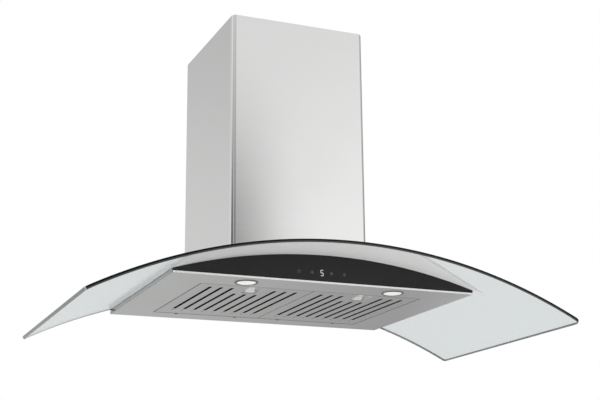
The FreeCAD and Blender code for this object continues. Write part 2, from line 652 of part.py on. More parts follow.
FAN_Y = "(0 - fan_back)"
SCROLL_Y = "(0 - fan_back - scroll_step / 2)"
SCROLL_Z = "(fan_height - scroll_step / 2)"
THROAT_REAR = f"({SCROLL_Y} + scroll_start + 3 * scroll_step)"
THROAT_FRONT = f"({THROAT_REAR} - throat_depth)"
THROAT_MIDDLE = f"({THROAT_REAR} - throat_depth / 2)"


def scroll_space(name, left, right, out, top):
    """The scroll's outline grown by out: three arcs of rising radius and a straight throat."""
    far = "(2 * scroll_start)"
    arcs = (
        ("top", "0", "0", "0", f"{SCROLL_Y} - {far}", f"{SCROLL_Y} + {far}", SCROLL_Z,
         f"{SCROLL_Z} + {far}"),
        ("front", "1", "0", "1", f"{SCROLL_Y} - {far}", f"{SCROLL_Y} + scroll_step",
         f"{SCROLL_Z} - {far}", SCROLL_Z),
        ("rear", "1", "1", "2", f"{SCROLL_Y} + scroll_step", f"{SCROLL_Y} + {far}",
         f"{SCROLL_Z} - {far}", f"{SCROLL_Z} + scroll_step"),
    )
    pieces = []
    for label, step_y, step_z, grown, front, rear, low, high in arcs:
        round_part = rod(f"{name}_{label}_round", "X", f"scroll_start + {grown} * scroll_step + {out}",
                         left, right,
                         f"{SCROLL_Y} + {step_y} * scroll_step", f"{SCROLL_Z} + {step_z} * scroll_step")
        pieces.append(common(f"{name}_{label}", round_part, box(f"{name}_{label}_quarter", left, right,
                                                                front, rear, low, high)))
    pieces.append(box(f"{name}_throat", left, right, f"{THROAT_FRONT} - {out}", f"{THROAT_REAR} + {out}",
                      f"{SCROLL_Z} + scroll_step", top))
    pieces.append(box(f"{name}_middle", left, right, f"{SCROLL_Y} - over_cut",
                      f"{THROAT_REAR} - scroll_step", f"{SCROLL_Z} - over_cut",
                      f"{SCROLL_Z} + scroll_step + over_cut"))
    return fuse(name, *pieces)


def make_scroll():
    outer = scroll_space("scroll_outer", "-scroll_half", "scroll_half", "scroll_wall", LID_LOW)
    inner = scroll_space("scroll_inner", "-scroll_half", "scroll_half", "0", "2 * box_top")
    node("scroll_wrap", cut("scroll_band", outer, inner))

    cheek = scroll_space("scroll_cheek", "scroll_half", "scroll_half + scroll_wall", "scroll_wall",
                         LID_LOW)
    flange = box("scroll_top_flange", "scroll_half", "scroll_half + scroll_wall + scroll_flange",
                 f"{THROAT_FRONT} - scroll_wall", f"{THROAT_REAR} + scroll_wall",
                 f"{LID_LOW} - scroll_wall", LID_LOW)
    holes = [rod("inlet", "X", "inlet_radius", "0", "2 * scroll_half", FAN_Y, "fan_height")]
    for index, (x, y) in enumerate(list(scroll_screw_places())[2:]):
        holes.append(rod(f"scroll_flange_hole_{index}", "Z", "small_screw", f"{LID_LOW} - through_cut",
                         "box_top", x, y))
    for index, (y, z) in enumerate(arm_screw_places()):
        holes.append(rod(f"arm_thread_{index}", "X", "small_screw", "0", "2 * scroll_half", y, z))
    right = node("scroll_side_right", cut("scroll_cheek_bored", fuse("scroll_cheek_blank", cheek,
                                                                     flange), *holes))
    mirror_node("scroll_side_left", right)


def make_wheel():
    owner = body("wheel_body")
    drawing = sketch(owner, "YZ", "-disc_thick / 2")
    ring(drawing, "0", "0", "fan_radius")
    pad(owner, drawing, "disc_thick")
    hub = sketch(owner, "YZ", "-hub_left")
    ring(hub, "0", "0", "hub_radius")
    pad(owner, hub, "hub_left + hub_right")
    blade = sketch(owner, "YZ", "0")
    mid = "((fan_inner + fan_radius) / 2)"
    tip = "(fan_radius - blade_short)"
    outline(blade, [
        ("0", "fan_inner"), ("blade_lean * blade_bow", mid), ("blade_lean", tip),
        ("blade_lean + blade_thick", tip), ("blade_lean * blade_bow + blade_thick", mid),
        ("blade_thick", "fan_inner"),
    ])
    one = pad(owner, blade, "2 * fan_half", both_ways=True)
    pattern = owner.newObject("PartDesign::PolarPattern", "blades")
    pattern.Originals = [one]
    axes = {part.Role: part for part in owner.Origin.OriginFeatures}
    pattern.Axis = (axes["X_Axis"], [""])
    pattern.Angle = 360
    pattern.Occurrences = BLADES
    owner.Tip = pattern
    doc.recompute()
    for offset in ("-fan_half - ring_width", "fan_half"):
        rim = sketch(owner, "YZ", offset)
        ring(rim, "0", "0", "fan_radius")
        ring(rim, "0", "0", "fan_inner + rim_depth")
        pad(owner, rim, "ring_width")
    bore = sketch(owner, "YZ", "hub_right + over_cut")
    ring(bore, "0", "0", "shaft_radius")
    pocket(owner, bore, "hub_left + hub_right + 2 * over_cut")
    place(owner, "0", FAN_Y, "fan_height")
    node("impeller", owner)
    node("motor_shaft", rod("shaft_rod", "X", "shaft_radius", "-shaft_left", "shaft_right", FAN_Y,
                            "fan_height"))


def arm_screw_places():
    for turn in (90, 210, 330):
        yield f"{FAN_Y} + arm_screw_reach * cos({turn})", f"fan_height + arm_screw_reach * sin({turn})"


def make_motor():
    bore = "(shaft_radius + shaft_gap)"
    motor = turned("motor_body", "X", [
        ("-motor_left", "0"), ("-motor_left", "motor_radius - motor_bevel"),
        ("motor_bevel - motor_left", "motor_radius"),
        ("-motor_right - motor_nose", "motor_radius"), ("-motor_right - boss_length",
                                                        "motor_radius - motor_step"),
        ("-motor_right - boss_length", "boss_radius"), ("-motor_right", "boss_radius"),
        ("-motor_right", bore),
        ("-shaft_left - shaft_pocket", bore), ("-shaft_left - shaft_pocket", "0"),
    ])
    place(motor, "0", FAN_Y, "fan_height")
    node("motor", motor)

    face = "-scroll_half - scroll_wall"
    owner = body("mount_body")
    collar = sketch(owner, "YZ", f"{face} - mount_length")
    ring(collar, "0", "0", "motor_radius")
    ring(collar, "0", "0", "motor_radius + mount_wall")
    pad(owner, collar, "mount_length")
    arm = sketch(owner, "YZ", f"{face} - arm_thick")
    outline(arm, [("-arm_width / 2", "motor_radius + mount_wall / 2"),
                  ("arm_width / 2", "motor_radius + mount_wall / 2"),
                  ("arm_width / 2", "arm_reach"), ("-arm_width / 2", "arm_reach")])
    one = pad(owner, arm, "arm_thick")
    pattern = owner.newObject("PartDesign::PolarPattern", "arms")
    pattern.Originals = [one]
    axes = {part.Role: part for part in owner.Origin.OriginFeatures}
    pattern.Axis = (axes["X_Axis"], [""])
    pattern.Angle = 360
    pattern.Occurrences = 3
    owner.Tip = pattern
    doc.recompute()
    place(owner, "0", FAN_Y, "fan_height")
    holes = []
    screws = []
    for index, (y, z) in enumerate(arm_screw_places()):
        holes.append(rod(f"arm_hole_{index}", "X", "small_screw", f"{face} - 2 * arm_thick", "0", y, z))
        screws.append(pan_head(f"motor_screw_{index}", "X", f"{face} - arm_thick", y, z, -1))
    node("motor_mount", cut("mount_bored", owner, *holes))
    group("motor_screws", screws)

    x = f"({BOX_HALF} - body_sheet - clip_wall - capacitor_radius - capacitor_gap)"
    node("capacitor", rod("capacitor_can", "Z", "capacitor_radius", "ear_low",
                          "ear_low + capacitor_height", x, "-capacitor_back"))
    low = "(ear_low + clip_up)"
    high = "(ear_low + clip_up + clip_height)"
    band = tube("clip_band", "Z", "capacitor_radius + clip_wall", "capacitor_radius", low, high, x,
                "-capacitor_back")
    foot = box("clip_foot", f"{x} + capacitor_radius + clip_wall / 2", f"{BOX_HALF} - body_sheet",
               "-capacitor_back - clip_half",
               "clip_half - capacitor_back", low, high)
    node("capacitor_clip", fuse("clip", band, foot))


# ---- duct collar with its two damper flaps ----

PIN_UP = "(box_top + pin_height)"
COLLAR_INNER = "(duct_radius - collar_wall)"


def make_collar():
    ledge_top = "(pin_height - flap_thick / 2 - ledge_gap)"
    blank = turned("collar_body", "Z", [
        ("0", COLLAR_INNER), ("0", "duct_radius + collar_flange"),
        ("collar_flange_thick", "duct_radius + collar_flange"),
        ("collar_flange_thick", "duct_radius"), ("collar_height", "duct_radius"),
        ("collar_height", COLLAR_INNER),
        (ledge_top, COLLAR_INNER), (ledge_top, f"{COLLAR_INNER} - ledge_width"),
        (f"{ledge_top} - ledge_thick", f"{COLLAR_INNER} - ledge_width"),
        (f"{ledge_top} - ledge_thick", COLLAR_INNER),
    ])
    place(blank, "0", THROAT_MIDDLE, "box_top")
    holes = [rod("pin_hole", "Y", "pin_radius", f"{THROAT_MIDDLE} - 2 * duct_radius",
                 f"{THROAT_MIDDLE} + 2 * duct_radius", "0", PIN_UP)]
    for index, (x, y) in enumerate(collar_screw_places()):
        holes.append(rod(f"collar_hole_{index}", "Z", "small_screw", "box_top - over_cut",
                         "box_top + through_cut", x, y))
    node("outlet_collar", cut("collar_bored", blank, *holes))
    screw_row("collar_screws", collar_screw_places(), "(box_top + collar_flange_thick)")
    reach = "(duct_radius - pin_short)"
    node("damper_pin", rod("pin_rod", "Y", "pin_radius", f"{THROAT_MIDDLE} - {reach}",
                           f"{THROAT_MIDDLE} + {reach}", "0", PIN_UP))


def make_flap(name, sign, knuckles):
    knuckle = "(pin_radius + pin_gap + knuckle_wall)"
    near = f"({knuckle} + leaf_gap)"
    low = f"{PIN_UP} - flap_thick / 2"
    high = f"{PIN_UP} + flap_thick / 2"
    disc = rod(f"{name}_disc", "Z", f"{COLLAR_INNER} - flap_gap", low, high, "0", THROAT_MIDDLE)
    far = "2 * duct_radius"
    left, right = (near, far) if sign > 0 else (f"-{far}", f"-{near}")
    side = box(f"{name}_side", left, right, f"{THROAT_MIDDLE} - {far}", f"{THROAT_MIDDLE} + {far}",
               f"{low} - over_cut", f"{high} + over_cut")
    half = common(f"{name}_half", disc, side)
    pieces = [half]
    for index, start in enumerate(knuckles):
        first = f"{THROAT_MIDDLE} + ({start})"
        last = f"{THROAT_MIDDLE} + ({start}) + knuckle_length"
        pieces.append(rod(f"{name}_knuckle_{index}", "Y", knuckle, first, last, "0", PIN_UP))
        left, right = ("0", f"{near} + over_cut") if sign > 0 else (f"-{near} - over_cut", "0")
        pieces.append(box(f"{name}_leaf_{index}", left, right, first, last, low, high))
    bore = rod(f"{name}_bore", "Y", "pin_radius + pin_gap", f"{THROAT_MIDDLE} - {far}",
               f"{THROAT_MIDDLE} + {far}", "0", PIN_UP)
    node(name, cut(f"{name}_bored", fuse(f"{name}_blank", *pieces), bore))


# ---- chimney ----

def cover(name, half, front, rear, lip, bottom, top, bend):
    """A folded cover open to the wall: front, two sides and two rear lips."""
    owner = body(name)
    thick = "chimney_sheet"
    inside = f"({bend} - {thick})"
    right = [
        (f"({half}) - ({lip})", rear), (half, rear), (half, f"{front} + {bend}", bend),
        (f"({half}) - {bend}", front),
    ]
    left = [
        (f"{bend} - ({half})", front, bend), (f"-({half})", f"{front} + {bend}"), (f"-({half})", rear),
        (f"({lip}) - ({half})", rear),
    ]
    in_half = f"({half} - {thick})"
    in_left = [
        (f"({lip}) - ({half})", f"{rear} - {thick}"), (f"-{in_half}", f"{rear} - {thick}"),
        (f"-{in_half}", f"{front} + {bend}", f"-{inside}"), (f"{bend} - ({half})", f"{front} + {thick}"),
    ]
    in_right = [
        (f"({half}) - {bend}", f"{front} + {thick}", f"-{inside}"), (in_half, f"{front} + {bend}"),
        (in_half, f"{rear} - {thick}"), (f"({half}) - ({lip})", f"{rear} - {thick}"),
    ]
    drawing = sketch(owner, "XY", bottom)
    outline(drawing, right + left + in_left + in_right)
    pad(owner, drawing, f"({top}) - ({bottom})")
    return owner


def make_chimney():
    lower = cover("lower_fold", "chimney_width / 2", "-chimney_depth", "-chimney_wall_gap",
                  "chimney_lip", "arch_rise / 2", "chimney_top", "chimney_bend")
    seat = barrel("chimney_arch", "glass_thick + chimney_seat", "-chimney_depth - over_cut", "over_cut")
    upper_bottom = "(chimney_top - upper_drop - upper_length)"
    tabs = []
    inner = "(chimney_width / 2 - chimney_sheet)"
    overlap = "chimney_sheet / 2"
    for side, left, right in (("left", f"-{inner} - {overlap}", f"stop_tab - {inner}"),
                              ("right", f"{inner} - stop_tab", f"{inner} + {overlap}")):
        tabs.append(box(f"stop_tab_{side}", left, right, "-chimney_depth / 2 - stop_tab_depth / 2",
                        "stop_tab_depth / 2 - chimney_depth / 2",
                        f"{upper_bottom} - stop_gap - chimney_sheet", f"{upper_bottom} - stop_gap"))
    holes = []
    screws = []
    for side, x in ear_screw_places():
        holes.append(rod(f"cover_hole_{side}", "Y", "small_screw", "-through_cut", "over_cut", x,
                         EAR_SCREW_UP))
        screws.append(pan_head(f"chimney_screw_{side}", "Y", x, f"{EAR_REAR} - ear_thick", EAR_SCREW_UP,
                               -1, "ear_screw_grip"))
    node("chimney_lower", cut("lower_trimmed", fuse("lower_blank", lower, *tabs), seat, *holes))
    group("chimney_screws", screws)

    half = "(chimney_width / 2 - chimney_sheet - cover_gap)"
    front = "(0 - chimney_depth + chimney_sheet + cover_front_gap)"
    top = "(chimney_top - upper_drop)"
    blank = cover("upper_fold", half, front, "-cover_rear_gap", "upper_lip", upper_bottom, top,
                  "(chimney_bend - chimney_sheet)")
    in_half = f"({half} - chimney_sheet)"
    gone = [box("lip_relief", f"-{in_half}", in_half, "-cover_rear_gap - 2 * chimney_sheet", "over_cut",
                f"{top} - lip_stop", f"{top} + over_cut")]
    for index in range(VENTS):
        for end, centre in (("front", "-chimney_depth * vent_front_share"),
                            ("rear", "-chimney_depth * vent_rear_share")):
            low = f"{top} - vent_drop - {index} * vent_pitch"
            gone.append(box(f"vent_{index}_{end}", "-chimney_width", "chimney_width",
                            f"{centre} - vent_length / 2", f"{centre} + vent_length / 2",
                            f"{low} - vent_height", low))
    screw_z = f"({top} - bracket_drop - bracket_height / 2)"
    screw_y = "(0 - bracket_arm * bracket_screw_share)"
    gone.append(rod("cover_screw_hole", "X", "small_head", "-chimney_width", "chimney_width", screw_y,
                    screw_z))
    node("chimney_upper", cut("upper_trimmed", blank, *gone))

    low = f"({top} - bracket_drop - bracket_height)"
    high = f"({top} - bracket_drop)"
    arm_out = f"({in_half} - bracket_gap)"
    middle = box("bracket_middle", "-bracket_pad / 2", "bracket_pad / 2", "-bracket_sheet", "0", low, high)
    wing = box("bracket_wing", f"-{arm_out}", arm_out, "-2 * bracket_sheet", "-bracket_sheet", low, high)
    arms = [
        box("bracket_arm_left", f"-{arm_out}", f"bracket_sheet - {arm_out}", "-bracket_arm",
            "-bracket_sheet", low, high),
        box("bracket_arm_right", f"{arm_out} - bracket_sheet", arm_out, "-bracket_arm", "-bracket_sheet",
            low, high),
    ]
    holes = []
    for side, x in (("left", "-bracket_hole_across / 2"), ("right", "bracket_hole_across / 2")):
        holes.append(rod(f"bracket_hole_{side}", "Y", "bracket_hole", "-through_cut", "over_cut", x,
                         screw_z))
    holes.append(rod("bracket_thread", "X", "small_screw", "-chimney_width", "chimney_width", screw_y,
                     screw_z))
    node("upper_bracket", cut("bracket_bored", fuse("bracket_blank", middle, wing, *arms), *holes))
    screws = []
    for side, sign in (("left", -1), ("right", 1)):
        ends = (f"{half} - chimney_sheet", half, f"{half} - chimney_sheet - screw_grip")
        if sign > 0:
            head = rod(f"bracket_screw_head_{side}", "X", "small_head", ends[0], ends[1], screw_y, screw_z)
            shank = rod(f"bracket_screw_shank_{side}", "X", "small_screw", ends[2], ends[0], screw_y,
                        screw_z)
        else:
            head = rod(f"bracket_screw_head_{side}", "X", "small_head", f"-({ends[1]})", f"-({ends[0]})",
                       screw_y, screw_z)
            shank = rod(f"bracket_screw_shank_{side}", "X", "small_screw", f"-({ends[0]})",
                        f"-({ends[2]})", screw_y, screw_z)
        screws.append(fuse(f"bracket_screw_{side}", head, shank))
    group("bracket_screws", screws)


# ---- lamps ----

def lamp_places():
    return (("left", "-lamp_across / 2"), ("right", "lamp_across / 2"))


def make_lamps():
    seat = "(lens_radius + lens_gap)"
    bore = "(neck_radius - neck_wall)"
    for side, x in lamp_places():
        bezel = turned(f"bezel_body_{side}", "Z", [
            ("-bezel_thick", f"{seat} + bezel_bevel"), ("-bezel_thick", "bezel_radius - bezel_bevel"),
            ("-bezel_thick / 2", "bezel_radius"), ("0", "bezel_radius"),
            ("0", "neck_radius"), ("neck_height", "neck_radius"), ("neck_height", bore), ("0", bore),
            ("0", seat), ("-bezel_thick / 2", seat),
        ])
        place(bezel, x, "-lamp_back", "0")
        node(f"lamp_bezel_{side}", bezel)
        lens = turned(f"lens_body_{side}", "Z", [
            ("-bezel_thick - lens_proud", "0"), ("-bezel_thick - lens_proud",
                                                 "lens_radius - lens_bevel"),
            ("-bezel_thick", "lens_radius"),
            ("0", "lens_radius"), ("0", "lens_radius + lens_lip"),
            ("lens_thick", "lens_radius + lens_lip"), ("lens_thick", "0"),
        ])
        place(lens, x, "-lamp_back", "0")
        node(f"lamp_lens_{side}", lens)
        lamp = turned(f"lamp_case_{side}", "Z", [
            ("lens_thick", "0"), ("lens_thick", bore), ("neck_height", bore),
            ("neck_height", "neck_radius"),
            ("lamp_height - lamp_bevel", "neck_radius"), ("lamp_height", "neck_radius - lamp_bevel"),
            ("lamp_height", "0"),
        ])
        place(lamp, x, "-lamp_back", "0")
        node(f"lamp_body_{side}", lamp)


# ---- filters with their latches and hinge hooks ----

FILTER_LEFT = "filter_inner"
FILTER_RIGHT = "(opening_half - filter_side_gap)"
FILTER_MIDDLE = f"((filter_inner + {FILTER_RIGHT}) / 2)"
FILTER_FRONT = "(filter_front_gap - opening_front)"
FILTER_REAR = "(0 - opening_rear - filter_rear_gap)"
HINGE_Y = "(0 - hinge_back)"
FLOOR_CUT = "(2 * filter_sheet)"
LATCH_HIGH = "(cup_height - cup_wall - latch_top_gap)"
LATCH_LOW = f"({LATCH_HIGH} - latch_plate)"
CUP_INNER_REAR = "(0 - cup_rear - cup_wall)"
TONGUE_LEFT = f"({FILTER_MIDDLE} - tongue_half - tongue_side_gap)"
TONGUE_RIGHT = f"({FILTER_MIDDLE} + tongue_half + tongue_side_gap)"
TONGUE_FLOOR = f"({LATCH_LOW} - tongue_slot_gap)"
TONGUE_ROOF = f"({LATCH_HIGH} + tongue_slot_gap)"


def lug_places():
    """The four hinge lugs, two behind each filter."""
    spots = [f"({FILTER_MIDDLE} - lug_offset)", f"({FILTER_MIDDLE} + lug_offset)"]
    return spots + [f"(0 - {spot})" for spot in spots]


def slot_middle(index):
    return f"({FILTER_MIDDLE} + {index - (FILTER_SLOTS - 1) / 2} * slot_pitch)"


def make_filter_face():
    skin = box("filter_skin", FILTER_LEFT, FILTER_RIGHT, FILTER_FRONT, FILTER_REAR, "0", "filter_height")
    hollow = box("filter_hollow", f"{FILTER_LEFT} + filter_sheet", f"{FILTER_RIGHT} - filter_sheet",
                 f"{FILTER_FRONT} + filter_sheet", f"{FILTER_REAR} - filter_sheet", "filter_sheet",
                 "filter_height + over_cut")
    lugs = []
    for index, x in enumerate(lug_places()[:2]):
        lugs.append(rod(f"lug_bar_{index}", "X", "hinge_radius", f"{x} - hinge_half",
                        f"{x} + hinge_half", HINGE_Y, "hinge_height"))
        lugs.append(box(f"lug_neck_{index}", f"{x} - neck_half", f"{x} + neck_half",
                        f"{FILTER_REAR} - filter_sheet / 2", HINGE_Y,
                        "hinge_height - neck_thick / 2", "hinge_height + neck_thick / 2"))
    tray = cut("filter_tray", skin, hollow)
    gone = [box("cup_opening", f"{FILTER_MIDDLE} - cup_half", f"{FILTER_MIDDLE} + cup_half",
                "-cup_front", "-cup_rear", "-over_cut", FLOOR_CUT)]
    gone.append(box("tongue_slot", TONGUE_LEFT, TONGUE_RIGHT, f"{FILTER_FRONT} - over_cut",
                    f"{FILTER_FRONT} + {FLOOR_CUT}", TONGUE_FLOOR, TONGUE_ROOF))
    for index in range(FILTER_SLOTS):
        front = "slot_short" if index in SHORT_SLOTS else "slot_front"
        x = slot_middle(index)
        first = f"(slot_width / 2 - {front})"
        last = "(0 - slot_rear - slot_width / 2)"
        gone.append(box(f"slot_{index}", f"{x} - slot_width / 2", f"{x} + slot_width / 2", first, last,
                        "-over_cut", FLOOR_CUT))
        gone.append(rod(f"slot_front_end_{index}", "Z", "slot_width / 2", "-over_cut", FLOOR_CUT, x,
                        first))
        gone.append(rod(f"slot_rear_end_{index}", "Z", "slot_width / 2", "-over_cut", FLOOR_CUT, x, last))
        gone.append(rod(f"drain_{index}", "Z", "drain_radius", "-over_cut", FLOOR_CUT, x, "-drain_back"))
    right = node("filter_face_right", cut("filter_slotted", fuse("filter_blank", tray, *lugs), *gone))
    mirror_node("filter_face_left", right)


def make_filter_baffles():
    channels = []
    front_wall = f"({FILTER_FRONT} + filter_sheet)"
    rear_wall = f"({FILTER_REAR} - filter_sheet)"
    for index in range(FILTER_SLOTS):
        x = slot_middle(index)
        front = "-cup_rear" if index in SHORT_SLOTS else front_wall
        left = f"{x} - baffle_width / 2"
        right = f"{x} + baffle_width / 2"
        skin = box(f"baffle_skin_{index}", left, right, front, rear_wall, "baffle_low", "baffle_top")
        core = box(f"baffle_core_{index}", f"{left} + baffle_sheet", f"{right} - baffle_sheet",
                   f"{front} - over_cut", f"{rear_wall} + over_cut",
                   "baffle_low - over_cut", "baffle_top - baffle_sheet")
        channels.append(cut(f"baffle_{index}", skin, core))
    right = group("filter_baffles_right", channels)
    mirror_node("filter_baffles_left", right)


def make_latches():
    left = f"({FILTER_MIDDLE} - cup_half)"
    right = f"({FILTER_MIDDLE} + cup_half)"
    skin = box("cup_skin", left, right, "-cup_front", "-cup_rear", "0", "cup_height")
    hollow = box("cup_hollow", f"{left} + cup_wall", f"{right} - cup_wall", "cup_wall - cup_front",
                 CUP_INNER_REAR, "-over_cut", "cup_height - cup_wall")
    slot = box("cup_slot", TONGUE_LEFT, TONGUE_RIGHT, "-cup_front - over_cut", "2 * cup_wall - cup_front",
               TONGUE_FLOOR, TONGUE_ROOF)
    rails = []
    rail_high = f"({LATCH_LOW} - rail_gap)"
    for side, start, end in (("inner", f"{left} + cup_wall / 2", f"{left} + cup_wall + rail_width"),
                             ("outer", f"{right} - cup_wall - rail_width", f"{right} - cup_wall / 2")):
        rails.append(box(f"rail_{side}", start, end, "-cup_front + cup_wall / 2", CUP_INNER_REAR,
                         f"{rail_high} - rail_thick", rail_high))
    cup = node("latch_cup_right", cut("cup_slotted", fuse("cup_blank", cut("cup_shell", skin, hollow),
                                                          *rails), slot))
    mirror_node("latch_cup_left", cup)

    plate = box("latch_plate_blank", f"{FILTER_MIDDLE} - latch_half", f"{FILTER_MIDDLE} + latch_half",
                "cup_wall + plate_front_gap - cup_front", "-finger_rear", LATCH_LOW, LATCH_HIGH)
    tongue = box("latch_tongue", f"{FILTER_MIDDLE} - tongue_half", f"{FILTER_MIDDLE} + tongue_half",
                 "tongue_gap - opening_front", "cup_wall + tongue_root - cup_front", LATCH_LOW,
                 LATCH_HIGH)
    finger = box("latch_finger", f"{FILTER_MIDDLE} - finger_half", f"{FILTER_MIDDLE} + finger_half",
                 "-finger_front", "-finger_rear", "finger_low", LATCH_HIGH)
    slide = node("latch_slide_right", fuse("latch_slide_blank", plate, tongue, finger))
    mirror_node("latch_slide_left", slide)

    start = "(end_gap - finger_rear)"
    finish = f"({CUP_INNER_REAR} - end_gap)"
    fold = f"(({finish} - {start}) / {SPRING_FOLDS})"
    upper = []
    lower = []
    for index in range(SPRING_FOLDS + 1):
        y = f"({start} + {index} * {fold})"
        z = "(spring_low + spring_rise)" if index % 2 else "spring_low"
        lower.append((y, z))
        upper.append((y, f"({z} + spring_strip)"))
    owner = body("spring_body")
    drawing = sketch(owner, "YZ", f"{FILTER_MIDDLE} - spring_half")
    outline(drawing, lower + upper[::-1])
    pad(owner, drawing, "2 * spring_half")
    spring = node("latch_spring_right", owner)
    mirror_node("latch_spring_left", spring)


def make_hinge_hooks():
    bore = rod("hook_bore", "X", "hinge_radius + hinge_gap", "-opening_half", "opening_half", HINGE_Y,
               "hinge_height")
    blocks = []
    for index, x in enumerate(lug_places()):
        for side, left, right in (("inner", f"{x} - hook_out", f"{x} - hook_in"),
                                  ("outer", f"{x} + hook_in", f"{x} + hook_out")):
            blocks.append(box(f"hook_{index}_{side}", left, right, f"{HINGE_Y} - hook_depth / 2",
                              f"{HINGE_Y} + hook_depth / 2", "body_sheet", "hinge_height"))
    node("hinge_hooks", cut("hooks_bored", fuse("hooks_blank", *blocks), bore))


make_glass()
make_body_shell()
make_gaskets()
make_panel()
make_blower_box()
make_box_lid()
make_glass_bolts()
make_scroll()
make_wheel()
make_motor()
make_collar()
make_flap("damper_flap_right", 1, RIGHT_KNUCKLES)
make_flap("damper_flap_left", -1, LEFT_KNUCKLES)
make_chimney()
make_lamps()
make_filter_face()
make_filter_baffles()
make_latches()
make_hinge_hooks()
doc.recompute()

failed = [thing.Name for thing in doc.Objects if "Invalid" in thing.State or "Error" in thing.State]
for thing in NODES:
    if thing.Shape.isNull() or not thing.Shape.isValid() or not thing.Shape.Solids:
        failed.append(thing.Label)
if failed:
    raise RuntimeError("failed: " + ", ".join(failed))

os.makedirs("parts", exist_ok=True)
for thing in NODES:
    thing.Shape.exportStep(f"parts/{thing.Label}.step")
print(len(NODES), "pieces written")
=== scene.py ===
import json
import math

import bmesh
import bpy
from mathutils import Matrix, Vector


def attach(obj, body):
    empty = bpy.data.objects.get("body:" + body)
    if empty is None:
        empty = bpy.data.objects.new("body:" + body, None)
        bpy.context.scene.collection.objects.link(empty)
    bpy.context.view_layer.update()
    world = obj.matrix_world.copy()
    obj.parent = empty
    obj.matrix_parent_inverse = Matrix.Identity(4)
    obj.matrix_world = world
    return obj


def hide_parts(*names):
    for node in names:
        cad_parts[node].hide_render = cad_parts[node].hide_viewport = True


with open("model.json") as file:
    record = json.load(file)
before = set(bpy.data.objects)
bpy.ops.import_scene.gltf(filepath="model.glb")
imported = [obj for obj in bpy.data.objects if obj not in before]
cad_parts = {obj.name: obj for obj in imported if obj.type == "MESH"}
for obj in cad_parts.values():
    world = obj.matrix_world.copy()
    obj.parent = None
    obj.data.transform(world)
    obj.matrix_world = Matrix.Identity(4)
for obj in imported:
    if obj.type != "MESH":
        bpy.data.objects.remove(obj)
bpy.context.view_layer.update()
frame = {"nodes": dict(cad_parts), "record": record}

hangHeight = 0.175  # the wall screws' height above the underside


def deselectAll():
    if bpy.context.object and bpy.context.object.mode != "OBJECT":
        bpy.ops.object.mode_set(mode="OBJECT")
    bpy.ops.object.select_all(action="DESELECT")


def pick(piece):
    deselectAll()
    piece.select_set(True)
    bpy.context.view_layer.objects.active = piece


def startEdit(piece):
    pick(piece)
    bpy.ops.object.mode_set(mode="EDIT")


def selectFaces(piece, test):
    bpy.ops.mesh.select_mode(type="FACE")
    bpy.ops.mesh.select_all(action="DESELECT")
    work = bmesh.from_edit_mesh(piece.data)
    for face in work.faces:
        face.select = test(face)
    work.select_flush_mode()
    bmesh.update_edit_mesh(piece.data)


def selectPoints(piece, test):
    bpy.ops.mesh.select_mode(type="VERT")
    bpy.ops.mesh.select_all(action="DESELECT")
    work = bmesh.from_edit_mesh(piece.data)
    for point in work.verts:
        point.select = test(point.co)
    work.select_flush_mode()
    bmesh.update_edit_mesh(piece.data)


def settle(piece):  # the piece's place goes into its mesh
    pick(piece)
    bpy.ops.object.transform_apply(location=True, rotation=True, scale=True)


def closeUp(piece):  # doubles merged, faces outwards
    startEdit(piece)
    bpy.ops.mesh.select_all(action="SELECT")
    bpy.ops.mesh.remove_doubles(threshold=1e-6)
    bpy.ops.mesh.normals_make_consistent(inside=False)
    bpy.ops.object.mode_set(mode="OBJECT")


def applyModifier(piece, kind, **settings):
    pick(piece)
    modifier = piece.modifiers.new(kind.title(), kind)
    for key, value in settings.items():
        setattr(modifier, key, value)
    bpy.ops.object.modifier_apply(modifier=modifier.name)


def smoothShade(piece, angle):
    pick(piece)
    bpy.ops.object.shade_smooth_by_angle(angle=math.radians(angle))


# a round piece: a circle, then extruded and resized along the profile of (radius, height)
def turnedPiece(name, centre, profile, segments=64):
    deselectAll()
    x, y, z = centre
    radius, height = profile[0]
    bpy.ops.mesh.primitive_circle_add(vertices=segments, radius=radius, location=(x, y, z + height))
    piece = bpy.context.object
    piece.name = name
    startEdit(piece)
    bpy.ops.mesh.select_all(action="SELECT")
    for (radiusBefore, heightBefore), (radius, height) in zip(profile, profile[1:]):
        rise = (0, 0, height - heightBefore)
        bpy.ops.mesh.extrude_region_move(TRANSFORM_OT_translate={"value": rise})
        share = radius / radiusBefore
        bpy.ops.transform.resize(value=(share, share, 1), center_override=(x, y, z + height))
    closed = (Vector(profile[0]) - Vector(profile[-1])).length < 1e-7
    if not closed:
        bpy.ops.mesh.select_all(action="SELECT")
        bpy.ops.mesh.fill_holes(sides=0)
    bpy.ops.object.mode_set(mode="OBJECT")
    settle(piece)
    closeUp(piece)
    return piece


def newFinish(name, **values):
    finish = bpy.data.materials.new(name)
    finish.use_nodes = True
    shader = finish.node_tree.nodes["Principled BSDF"]
    for key, value in values.items():
        shader.inputs[key].default_value = value
    return finish, finish.node_tree, shader


# noise on Object coordinates, stretched by a Mapping node's scale per metre
def grainNoise(tree, stretch, detail=4.0, roughness=0.55):
    place = tree.nodes.new("ShaderNodeTexCoord")
    mapping = tree.nodes.new("ShaderNodeMapping")
    mapping.inputs["Scale"].default_value = stretch
    noise = tree.nodes.new("ShaderNodeTexNoise")
    noise.inputs["Scale"].default_value = 1.0
    noise.inputs["Detail"].default_value = detail
    noise.inputs["Roughness"].default_value = roughness
    tree.links.new(place.outputs["Object"], mapping.inputs["Vector"])
    tree.links.new(mapping.outputs["Vector"], noise.inputs["Vector"])
    return noise.outputs["Fac"]


def toRange(tree, source, low, high, fromLow=0.3, fromHigh=0.7):
    span = tree.nodes.new("ShaderNodeMapRange")
    span.inputs["From Min"].default_value = fromLow
    span.inputs["From Max"].default_value = fromHigh
    span.inputs["To Min"].default_value = low
    span.inputs["To Max"].default_value = high
    tree.links.new(source, span.inputs["Value"])
    return span.outputs["Result"]


